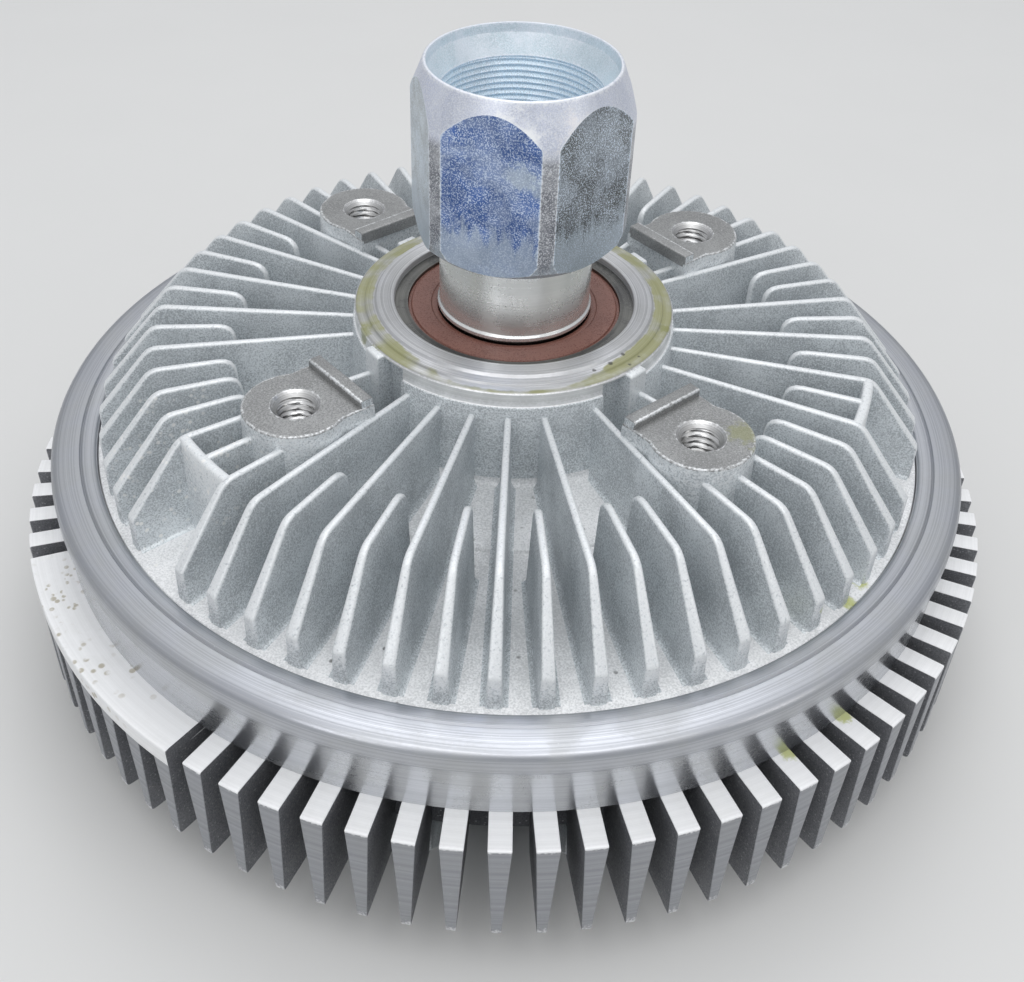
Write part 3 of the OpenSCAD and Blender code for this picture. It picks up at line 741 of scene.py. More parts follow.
@dataclass(frozen=True)
class CastFinish(Finish):
    """Blasted aluminium casting.

    Attributes:
        name: Name of the material.
        dark: Colour of the hollows.
        light: Colour of the high grains.
        bare: Colour of worn edges and bright specks.
        grain: Size of the grains in millimetres.
        depth: Depth of the grains in millimetres.
        rough: Lowest and highest roughness.
        metal: How metallic the skin looks, from 0 to 1.
        grit: Share of dark specks.
        specks: Strength of the bright specks.
        marks: Marks on the skin.
    """

    name: str
    dark: Colour = (0.43, 0.46, 0.48)
    light: Colour = (0.82, 0.86, 0.88)
    bare: Colour = (0.83, 0.85, 0.86)
    grain: float = 0.3
    depth: float = 0.06
    rough: tuple[float, float] = (0.42, 0.60)
    metal: float = 0.3
    grit: float = 0.0
    specks: float = 0.35
    marks: tuple[Mark, ...] = ()

    def material(self, effects: Effects) -> bpy.types.Material:
        """Makes the material from the shared effects."""
        material, tree, shader = self.open()
        skin = effects.use(tree, Effect.CAST_SKIN, {"Grain": self.grain})
        wear = effects.use(tree, Effect.EDGE_WEAR, {"Spread": 0.85}).outputs["Mask"]
        smudge = effects.use(tree, Effect.SMUDGE, {"Size": 16.0}).outputs["Mask"]
        colour = tree.blend(skin.outputs["Tone"], self.dark, self.light)
        colour = tree.blend(tree.times(smudge, 0.22), colour, self.dark)
        colour = tree.blend(tree.times(skin.outputs["Speck"], self.specks), colour, self.bare)
        if self.grit > 0:
            place = tree.millimetres()
            spots = tree.span(tree.cells(place, 2.6), 0.2, 0.08)
            chosen = tree.span(tree.noise(place, 5.0, 2.0), 0.56, 0.66)
            share = tree.times(tree.times(spots, chosen), self.grit)
            colour = tree.blend(share, colour, GRIT)
        colour = tree.blend(tree.times(wear, 0.8), colour, self.bare)
        self.paint(tree, effects, colour, shader)
        rough = tree.span(skin.outputs["Tone"], 0.0, 1.0, self.rough[1], self.rough[0])
        tree.feed(shader.inputs["Roughness"], tree.less(rough, tree.times(wear, 0.1)))
        tree.feed(shader.inputs["Normal"], tree.bump(skin.outputs["Height"], self.depth))
        return material


@dataclass(frozen=True)
class TurnedFinish(Finish):
    """Metal turned on a lathe.

    Attributes:
        name: Name of the material.
        dark: Colour in the tool marks.
        light: Colour between the tool marks.
        pitch: Width of the tool marks in millimetres.
        depth: Depth of the tool marks in millimetres.
        rough: Lowest and highest roughness.
        metal: How metallic the surface looks, from 0 to 1.
        drawn: How far the tool marks draw out reflections, from 0 to 1.
        from_mesh: Whether the mesh says how the marks run.
        stain: Colour of the stain on the metal.
        stained: Strength of the stain.
        bare: Colour of worn edges.
        ring: Inner radius, outer radius and lowest height of a ring of thin paint.
        ring_colour: Colour of the ring.
        ring_cover: How much of the metal the ring hides, from 0 to 1.
        marks: Marks on the metal.
    """

    name: str
    dark: Colour = (0.56, 0.565, 0.58)
    light: Colour = (0.78, 0.785, 0.80)
    pitch: float = 0.22
    depth: float = 0.012
    rough: tuple[float, float] = (0.22, 0.38)
    metal: float = 1.0
    drawn: float = 0.0
    from_mesh: bool = True
    stain: Colour = (0.45, 0.45, 0.40)
    stained: float = 0.2
    bare: Colour = (0.92, 0.92, 0.93)
    ring: tuple[float, float, float] | None = None
    ring_colour: Colour = (0.25, 0.25, 0.055)
    ring_cover: float = 0.78
    marks: tuple[Mark, ...] = ()

    def material(self, effects: Effects) -> bpy.types.Material:
        """Makes the material from the shared effects."""
        material, tree, shader = self.open()
        marks = effects.use(tree, Effect.TURNING, {"Pitch": self.pitch, "From Mesh": float(self.from_mesh)})
        smudge = effects.use(tree, Effect.SMUDGE, {"Size": 11.0}).outputs["Mask"]
        colour = tree.blend(marks.outputs["Tone"], self.dark, self.light)
        colour = tree.blend(tree.times(smudge, self.stained), colour, self.stain)
        if self.from_mesh:
            wear = effects.use(tree, Effect.EDGE_WEAR, {"Spread": 0.85}).outputs["Mask"]
            colour = tree.blend(tree.times(wear, 0.7), colour, self.bare)
        covered = None
        if self.ring is not None:
            values = dict(zip(("Inner", "Outer", "Low"), self.ring))
            mask = effects.use(tree, Effect.PAINT_RING, values).outputs["Mask"]
            covered = tree.times(mask, self.ring_cover)
            colour = tree.blend(covered, colour, self.ring_colour)
        self.paint(tree, effects, colour, shader, covered)
        if self.drawn > 0:
            shader.inputs["Anisotropic"].default_value = self.drawn
            shader.inputs["Anisotropic Rotation"].default_value = 0.25
            round_axis = tree.add("ShaderNodeTangent", direction_type="RADIAL", axis="Z")
            tree.feed(shader.inputs["Tangent"], round_axis.outputs[0])
        rough = tree.span(marks.outputs["Tone"], 0.0, 1.0, self.rough[1], self.rough[0])
        tree.feed(shader.inputs["Roughness"], tree.plus(rough, tree.times(smudge, 0.1)))
        tree.feed(shader.inputs["Normal"], tree.bump(marks.outputs["Height"], self.depth))
        return material


@dataclass(frozen=True)
class PlatedFinish(Finish):
    """Zinc-plated steel with a passivated film that varies in colour, with painted shade and painted
    reflection on some sides.

    Attributes:
        name: Name of the material.
        grey: Colour of the film.
        pale: Colour of bright specks and worn places.
        wiped: Colour of the film where it is wiped pale.
        side_tints_and_light: Azimuth in degrees, distance from the axis and colour of each side that has its
            own colour. On the flats these are the film's blue in front, painted shade on the right flat and a
            painted pale reflection on the left flat.
        wiped_z: Height under which the film is wiped pale, or 0 for nowhere.
        dark_z: Height under which the film is darker, or 0 for nowhere.
        specks: Strength of the bright specks.
        cloudy: Strength of the pale clouds.
        rough: Lowest and highest roughness.
        metal: How metallic the film looks, from 0 to 1.
        marks: Marks on the film, painted highlights among them.
    """

    name: str
    grey: Colour = (0.30, 0.33, 0.34)
    pale: Colour = (0.84, 0.87, 0.93)
    wiped: Colour = (0.50, 0.57, 0.64)
    side_tints_and_light: tuple[tuple[float, float, Colour], ...] = ()
    wiped_z: float = 0.0
    dark_z: float = 0.0
    specks: float = 0.8
    cloudy: float = 0.3
    rough: tuple[float, float] = (0.28, 0.44)
    metal: float = 0.6
    marks: tuple[Mark, ...] = ()

    def material(self, effects: Effects) -> bpy.types.Material:
        """Makes the material from the shared effects."""
        material, tree, shader = self.open()
        skin = effects.use(tree, Effect.CAST_SKIN, {"Grain": 0.2})
        smudge = effects.use(tree, Effect.SMUDGE, {"Size": 7.0}).outputs["Mask"]
        wear = effects.use(tree, Effect.EDGE_WEAR, {"Spread": 0.9}).outputs["Mask"]
        place = tree.millimetres()
        height = tree.add("ShaderNodeSeparateXYZ", {"Vector": place}).outputs["Z"]
        cloud = tree.noise(place, 6.0, 3.0, 0.8)
        colour = tree.blend(skin.outputs["Tone"], tuple(0.8 * c for c in self.grey), self.grey)
        if self.dark_z > 0:
            lower = tree.span(height, self.dark_z + 1.5, self.dark_z - 1.5)
            colour = tree.blend(lower, colour, tuple(0.24 * c for c in self.grey))
        # Each listed side takes its own colour by the way it faces: the film's blue in front, with painted
        # shade and a painted reflection on the flats beside it.
        for azimuth, apart, side_colour in self.side_tints_and_light:
            turned = math.radians(azimuth)
            outwards = (math.cos(turned) / apart, math.sin(turned) / apart, 0.0)
            side = tree.vector("DOT_PRODUCT", place, outwards).outputs["Value"]
            toned = tree.blend(tree.span(cloud, 0.35, 0.7), side_colour, tuple(1.6 * c for c in side_colour))
            colour = tree.blend(tree.span(side, 0.94, 0.985), colour, toned)
        colour = tree.blend(tree.times(smudge, self.cloudy), colour, self.pale)
        salt = tree.span(tree.noise(place, 0.24, 1.0), 0.48, 0.64)
        salt = tree.math("MAXIMUM", salt, skin.outputs["Speck"])
        salt = tree.times(salt, tree.span(cloud, 0.3, 0.6, 0.55, 1.0))
        colour = tree.blend(tree.times(salt, self.specks), colour, self.pale)
        if self.wiped_z > 0:
            drawn = tree.vector("MULTIPLY", place, (1.0, 1.0, 0.16)).outputs[0]
            streak = tree.times(tree.less(tree.noise(drawn, 1.3, 3.0), 0.5), 14.0)
            wiped = tree.span(tree.plus(height, streak), self.wiped_z + 2.5, self.wiped_z - 2.5)
            colour = tree.blend(tree.times(wiped, 0.62), colour, self.wiped)
        colour = tree.blend(tree.times(wear, 0.85), colour, self.pale)
        self.paint(tree, effects, colour, shader)
        rough = tree.span(skin.outputs["Tone"], 0.0, 1.0, self.rough[0], self.rough[1])
        tree.feed(shader.inputs["Roughness"], rough)
        tree.feed(shader.inputs["Normal"], tree.bump(skin.outputs["Height"], 0.012))
        return material


@dataclass(frozen=True)
class RubberFinish(Finish):
    """Moulded rubber.

    Attributes:
        name: Name of the material.
        dark: Darker colour.
        light: Lighter colour.
        rough: Lowest and highest roughness.
        metal: How metallic the rubber looks: not at all.
        marks: Marks on the rubber.
    """

    name: str
    dark: Colour
    light: Colour
    rough: tuple[float, float] = (0.38, 0.55)
    metal: float = 0.0
    marks: tuple[Mark, ...] = ()

    def material(self, effects: Effects) -> bpy.types.Material:
        """Makes the material from the shared effects."""
        material, tree, shader = self.open()
        skin = effects.use(tree, Effect.CAST_SKIN, {"Grain": 0.25})
        smudge = effects.use(tree, Effect.SMUDGE, {"Size": 5.0}).outputs["Mask"]
        colour = tree.blend(skin.outputs["Tone"], self.dark, self.light)
        colour = tree.blend(tree.times(smudge, 0.3), colour, self.light)
        self.paint(tree, effects, colour, shader)
        tree.feed(shader.inputs["Roughness"], tree.span(skin.outputs["Tone"], 0.0, 1.0, *self.rough))
        tree.feed(shader.inputs["Normal"], tree.bump(skin.outputs["Height"], 0.015))
        return material


# Sub-assemblies


@dataclass(frozen=True)
class Levels:
    """Sizes that the castings share, in millimetres."""

    rim_z: float = 46.0
    hub_r: float = 30.5
    hub_top: float = 74.0
    hub_ring_z: float = 70.0
    hub_wall_r: float = 30.9
    hub_foot_r: float = 32.4
    fin_end_r: float = 80.2
    floor_hub_z: float = 53.6
    floor_rim_z: float = 47.8
    floor_step_r: float = 48.0
    floor_step_h: float = 0.5
    lip_in_r: float = 81.6
    skirt_r: float = 89.5
    skirt_z: float = 33.8
    flange_r: float = 86.8
    flange_top_z: float = 46.6
    seat_z: float = 42.2
    chamber_in_r: float = 51.1
    land_count: int = 4
    land_r: float = 57.0
    land_step: float = 5.8
    land_half: float = 1.1
    land_h: float = 4.9
    land_sides: int = 120

    def floor(self, r: float) -> float:
        """Gives the height of the rear casting's floor at a radius."""
        slope = (self.floor_hub_z - self.floor_rim_z) / (self.fin_end_r - self.hub_r)
        step = self.floor_step_h if r < self.floor_step_r else 0.0
        return self.floor_hub_z - slope * (r - self.hub_r) + step

    def wall(self, z: float) -> float:
        """Gives the radius of the hub's cast wall at a height."""
        foot_z = self.floor(self.hub_foot_r)
        share = (self.hub_ring_z - z) / (self.hub_ring_z - foot_z)
        return self.hub_wall_r + share * (self.hub_foot_r - self.hub_wall_r)


LEVELS = Levels()


def drafted(low_z: float, low: float, high_z: float, high: float) -> Half:
    """Makes the half thickness of a drafted plate.

    Args:
        low_z: Lower height.
        low: Thickness there.
        high_z: Upper height.
        high: Thickness there.

    Returns:
        A function from radii and heights to half thicknesses.
    """
    return lambda r, z: (low + (high - low) * (np.asarray(z) - low_z) / (high_z - low_z)) / 2


def add_lands(shape: Shape, low: float, finish: int) -> None:
    """Adds the rings that stand between those of the rotor.

    Args:
        shape: Shape that gets the rings.
        low: Height of their lower side in millimetres.
        finish: Finish number.
    """
    top = low + LEVELS.land_h
    for i in range(LEVELS.land_count):
        middle = LEVELS.land_r + LEVELS.land_step * i
        inner, outer = middle - LEVELS.land_half, middle + LEVELS.land_half
        ring = np.array([(inner, low), (outer, low), (outer, top), (inner, top)])
        shape.turn(ring, finish, sides=LEVELS.land_sides)


class SubAssembly:
    """Base of the sub-assemblies that stand for a CAD node.

    Attributes:
        name: Name of the piece.
        carrier: Name of the CAD body that it rides on.
        node: CAD node that it stands for.
        slot: Material slot of the record.
        sharp: Angle in degrees from which an edge shades as sharp.
    """

    name: ClassVar[str]
    carrier: ClassVar[str]
    node: ClassVar[str]
    slot: ClassVar[str]
    sharp: ClassVar[float] = 40.0

    def shape(self) -> Shape:
        """Gives the whole shape of the piece."""
        raise NotImplementedError

    def build(self, effects: Effects, finishes: Sequence[Finish]) -> bpy.types.Object:
        """Builds the piece.

        Args:
            effects: The shared node groups.
            finishes: Finishes in the order of the finish numbers.

        Returns:
            The piece.
        """
        materials = [finish.material(effects) for finish in finishes]
        return self.shape().piece(self.name, self.carrier, [self.node], self.slot, materials, self.sharp)


class FinKind(Enum):
    """Kinds of radial fin on the rear housing."""

    LONG = "long"
    SHORT = "short"
    BOSS = "boss"
    POCKET = "pocket"
    HUB = "hub"


@dataclass
class RearHousing(SubAssembly):
    """Rear casting: hub, floor, radial fins, pockets and fan bosses. Sizes are in millimetres and degrees."""

    name = "rear_casting"
    carrier = "housing"
    node = "rear_housing"
    slot = "cast_housing"

    fin_count: int = 60
    fin_angle: float = -90.5
    fin_top_z: float = 68.0
    fin_end_z: float = 54.7
    knee_r: float = 69.2
    short_r: float = 53.5
    short_round: float = 3.3
    hub_fin_r: float = 41.3
    top_t: float = 1.3
    root_t: float = 3.0
    hub_thin: float = 0.85
    edge: float = 0.45
    root_fillet: float = 0.9
    boss_first: int = 7
    boss_step: int = 15
    boss_at_r: float = 49.8
    boss_r: float = 9.4
    boss_z: float = 70.7
    lug_w: float = 16.6
    tap_r: float = 3.4
    tap_depth: float = 17.0
    tap_pitch: float = 1.25
    pilot_r: float = 42.4
    pilot_h: float = 1.5
    pilot_w: float = 2.6
    recess_r: float = 28.9
    recess_low_z: float = 57.0
    recess_top_z: float = 72.2
    recess_span: tuple[float, float] = (-9.0, 1.2)
    column_turn: float = 4.6
    column_r: float = 31.9
    column_w: float = 4.2
    column_top_z: float = 72.5
    pockets: tuple[int, ...] = (12, 52)
    pocket_half: float = 6.0
    shoulder_r: float = 20.85
    bearing_r: float = 23.52
    bearing_z: float = 58.6
    bearing_top_z: float = 72.6
    chamber_lip_r: float = 52.6
    land_z: float = 38.3

    CAST, FLOOR, TURNED, FACE, TAPPED, BAND = range(6)

    def kind(self, k: int) -> FinKind:
        """Gives the kind of the fin at place k, counted from the boss before it."""
        step = (k - self.boss_first) % self.boss_step
        quarter = (k - self.boss_first) % self.fin_count // self.boss_step
        if k in self.pockets:
            return FinKind.POCKET
        if step < 2 or step == self.boss_step - 1:
            return FinKind.BOSS
        if (step, quarter) in ((2, 0), (13, 2)):
            return FinKind.SHORT
        return FinKind.LONG if step in (2, 4, 6, 8, 10, 13) else FinKind.SHORT

    def half(self, r: Points, z: Points) -> Points:
        """Gives the half thickness of a fin, a little thinner towards the hub."""
        plain = drafted(LEVELS.rim_z - 1, self.root_t, self.fin_top_z + 1, self.top_t)(r, z)
        share = np.clip((np.asarray(r) - LEVELS.hub_r) / (self.knee_r - LEVELS.hub_r), 0, 1)
        return plain * (self.hub_thin + (1 - self.hub_thin) * share)

    def fin(self, kind: FinKind) -> Shape:
        """Makes one fin on the azimuth 0.

        Args:
            kind: Kind of the fin.

        Returns:
            The fin with its root fillets.
        """
        from_hub = self.recess_r + 0.1
        from_boss = self.boss_at_r + self.boss_r - 3
        starts = {FinKind.LONG: from_hub, FinKind.HUB: from_hub, FinKind.BOSS: from_boss}
        ends = {FinKind.POCKET: self.knee_r - 1, FinKind.HUB: self.hub_fin_r}
        start, end = starts.get(kind, self.short_r), ends.get(kind, LEVELS.fin_end_r)
        corners = [Corner(start, LEVELS.floor(start) - 1), Corner(end, LEVELS.floor(end) - 1)]
        if kind in ends:
            corners.append(Corner(end, self.fin_top_z, 1.0, 1.0))
        else:
            corners.append(Corner(end, self.fin_end_z, 1.3, 1.0))
            corners.append(Corner(self.knee_r, self.fin_top_z, 4.0, 1.0))
        round_start = kind in (FinKind.SHORT, FinKind.POCKET)
        corners.append(Corner(start, self.fin_top_z, self.short_round if round_start else 1.0, 1.0))
        shape = Shape()
        shape.plate(corners, self.half, self.edge, self.CAST)
        stations = np.linspace(start + (1.0 if round_start else 0.0), end - 0.4, 12)
        shape.cove(np.array([(r, LEVELS.floor(r)) for r in stations]), self.half, self.root_fillet, self.CAST)
        return shape

    def reach(self, azimuth: Points) -> Points:
        """Gives how far a boss's top reaches from its own axis, with the lug towards the hub."""
        ahead, aside = np.cos(azimuth), np.abs(np.sin(azimuth))
        lug_r = self.pilot_r - self.pilot_w
        across = self.boss_at_r * ahead
        root = across**2 - self.boss_at_r**2 + lug_r**2
        inner = np.where(root > 0, -across - np.sqrt(np.maximum(root, 0)), 99.0)
        lug = np.minimum(inner, self.lug_w / 2 / np.maximum(aside, 1e-6))
        return np.where(ahead < 0, np.maximum(lug, self.boss_r), self.boss_r)

    def boss(self) -> Shape:
        """Makes one fan boss with its lug, register step and tapped hole on the azimuth 0."""
        shape = Shape()
        base = LEVELS.floor(self.boss_at_r) - 1
        mouth = self.tap_r + 1.0
        section, wear, finish = banded([
            (self.CAST, [Corner(self.boss_r + 2.2, base), Corner(self.boss_r + 0.8, base + 1.9, 1.5)]),
            (self.FACE, [Corner(self.boss_r, self.boss_z, 0.35, 0.7), Corner(self.boss_r - 0.7, self.boss_z),
                         Corner(mouth + 0.45, self.boss_z)]),
            (self.TAPPED, [Corner(mouth, self.boss_z, 0.12, 0.6), Corner(self.tap_r, self.boss_z - 1.0)])],
            closed=False)
        rows = np.arange(self.boss_z - 1.05, self.boss_z - self.tap_depth, -self.tap_pitch / 8)
        hole = np.stack([np.full(len(rows), self.tap_r), rows], 1)
        bottom = [[self.tap_r, self.boss_z - self.tap_depth], [0.0, base + 1.2]]
        section = np.concatenate([section, hole, bottom])
        finish += [self.TAPPED] * (len(section) - len(finish))
        worn = np.concatenate([wear, np.zeros(len(section) - len(wear))])

        def shaped(azimuth: Points, r: Points, z: Points) -> Points:
            """Draws the outline out to the lug, and cuts the thread into the hole's wall."""
            outline = np.where(r > mouth + 0.5, r + self.reach(azimuth) - self.boss_r, r)
            on_wall = np.abs(r - self.tap_r) < 0.05
            inside = on_wall & (z < self.boss_z - 1.05) & (z > self.boss_z - self.tap_depth + 1)
            phase = np.mod(z / self.tap_pitch - azimuth / (2 * math.pi), 1.0)
            return np.where(inside, r + 0.6 * (1 - np.abs(2 * phase - 1)), outline)

        lug_y = self.lug_w / 2
        lug_x = self.boss_at_r - math.sqrt((self.pilot_r - self.pilot_w) ** 2 - lug_y**2)
        corner = math.degrees(math.atan2(lug_y, -lug_x))
        side = 180 - math.degrees(math.asin(lug_y / self.boss_r))
        kinks = np.array([side, corner - 0.6, corner, corner + 0.6])
        sides = np.unique(np.concatenate([np.arange(0, 360, 5.0), kinks, 360 - kinks]))
        shape.turn(section, finish, worn, closed=False, centre=(self.boss_at_r, 0.0), sides=sides,
                   bend=shaped)
        inner, step_z = self.pilot_r - self.pilot_w, self.boss_z + self.pilot_h
        step = [Corner(inner + 0.05, self.boss_z - 1), Corner(self.pilot_r, self.boss_z - 1),
                Corner(self.pilot_r, step_z - 0.7), Corner(self.pilot_r, step_z, 0.3, 0.9),
                Corner(self.pilot_r - 0.7, step_z), Corner(inner + 0.05, step_z, 0.4, 0.2)]
        wide = drafted(self.boss_z, self.lug_w - 0.2, step_z, self.lug_w - 0.4)
        shape.plate(step, wide, 0.15, self.CAST, arched=True, rim=[self.FACE] * len(step))
        return shape

    def boss_azimuth(self, i: int) -> float:
        """Gives the azimuth of a boss in degrees."""
        return self.fin_angle + 360 / self.fin_count * (self.boss_first + self.boss_step * i)

    def hub_sides(self) -> Shape:
        """Makes the hub's wall between its recesses, and the columns and fins in the recesses."""
        low, high, ring_z = self.recess_low_z, self.recess_top_z, LEVELS.hub_ring_z
        section, wear, kinds = banded([
            (self.CAST, [Corner(self.recess_r - 1, low - 0.6), Corner(LEVELS.wall(low), low - 0.6),
                         Corner(LEVELS.wall(low), low), Corner(LEVELS.hub_wall_r, ring_z - 0.1, 0.05)]),
            (self.BAND, [Corner(LEVELS.hub_r, ring_z, 0.12, 1.0)]),
            (self.CAST, [Corner(LEVELS.hub_r, high), Corner(self.recess_r - 1, high)])])
        foot = LEVELS.floor(self.column_r) - 1
        column = Shape()
        inner, top = self.recess_r - 1, self.column_top_z
        column.plate([Corner(inner, foot), Corner(self.column_r + 0.7, foot),
                      Corner(self.column_r, top, 0.6, 1.0), Corner(inner, top)],
                     drafted(foot, self.column_w + 0.5, top, self.column_w), 0.35, self.CAST)
        fin = self.fin(FinKind.HUB)
        shape = Shape()
        for i in range(4):
            side = 1 if i % 2 == 0 else -1
            at = self.boss_azimuth(i)
            reach = -self.recess_span[0] if side < 0 else self.recess_span[1]
            shape.turn(section, kinds, wear, span=(at + reach, at + 90 - reach))
            shape.place(column, at + side * self.column_turn)
            shape.place(fin, at + side * 360 / self.fin_count)
        return shape

    def body(self) -> Shape:
        """Makes the turned and cast body of the housing, without fins."""
        hub, top = LEVELS.hub_r, LEVELS.hub_top
        shoulder, bearing, chamber = self.shoulder_r, self.bearing_r, LEVELS.chamber_in_r
        low, high, foot = self.recess_low_z, self.recess_top_z, LEVELS.hub_foot_r
        section, wear, kinds = banded([
            (self.TURNED, [Corner(shoulder, self.bearing_z), Corner(bearing, self.bearing_z),
                           Corner(bearing, self.bearing_top_z), Corner(bearing - 0.6, self.bearing_top_z),
                           Corner(bearing - 0.6, top, 0.35),
                           Corner(hub - 4.2, top, 0.2), Corner(hub - 3.8, top - 0.45, 0.1),
                           Corner(hub - 2.1, top - 0.6, 0.12), Corner(hub - 1.9, top - 0.95, 0.1),
                           Corner(hub - 0.4, top - 1.1, 0.15)]),
            (self.BAND, [Corner(hub, top - 1.4, 0.15, 0.9)]),
            (self.CAST, [Corner(hub, high), Corner(self.recess_r, high), Corner(self.recess_r, low, 0.5),
                         Corner(LEVELS.wall(low), low, 0.3, 0.5)]),
            # The floor takes a paler copy of the cast skin, which is painted light.
            (self.FLOOR, [Corner(foot, LEVELS.floor(foot), 1.6),
                          Corner(LEVELS.floor_step_r, LEVELS.floor(LEVELS.floor_step_r - 0.1), 0.3),
                          Corner(LEVELS.floor_step_r + 0.4, LEVELS.floor(LEVELS.floor_step_r + 0.4), 0.3),
                          Corner(LEVELS.fin_end_r, LEVELS.floor_rim_z, 0.5),
                          Corner(LEVELS.lip_in_r - 0.2, LEVELS.floor_rim_z, 0.3)]),
            (self.TURNED, [Corner(LEVELS.lip_in_r - 0.2, LEVELS.flange_top_z),
                           Corner(LEVELS.flange_r, LEVELS.flange_top_z),
                           Corner(LEVELS.flange_r, LEVELS.seat_z), Corner(self.chamber_lip_r, LEVELS.seat_z),
                           Corner(chamber, LEVELS.floor(chamber) - 4.6),
                           Corner(hub + 1.5, LEVELS.floor(chamber) - 2.4),
                           Corner(hub - 3.5, self.bearing_z - 4), Corner(shoulder, self.bearing_z - 4)])])
        shape = Shape()
        shape.turn(section, kinds, wear)
        add_lands(shape, self.land_z, self.TURNED)
        return shape

    def shape(self) -> Shape:
        """Joins the body, the hub's sides, the fins, the pockets' walls and the bosses."""
        shape = self.body()
        shape.place(self.hub_sides(), 0.0)
        fins = {kind: self.fin(kind) for kind in FinKind}
        for k in range(self.fin_count):
            shape.place(fins[self.kind(k)], self.fin_angle + 360 / self.fin_count * k)
        foot = LEVELS.floor(self.knee_r) - 1
        wall, wear = rounded([
            Corner(self.knee_r - 2.3, foot), Corner(self.knee_r + 0.6, foot),
            Corner(self.knee_r, self.fin_top_z, 0.7, 1.0),
            Corner(self.knee_r - 1.9, self.fin_top_z, 0.7, 1.0)])
        for k in self.pockets:
            middle = self.fin_angle + 360 / self.fin_count * k
            shape.turn(wall, self.CAST, wear, span=(middle - self.pocket_half, middle + self.pocket_half))
        boss = self.boss()
        for i in range(4):
            shape.place(boss, self.boss_azimuth(i))
        return shape


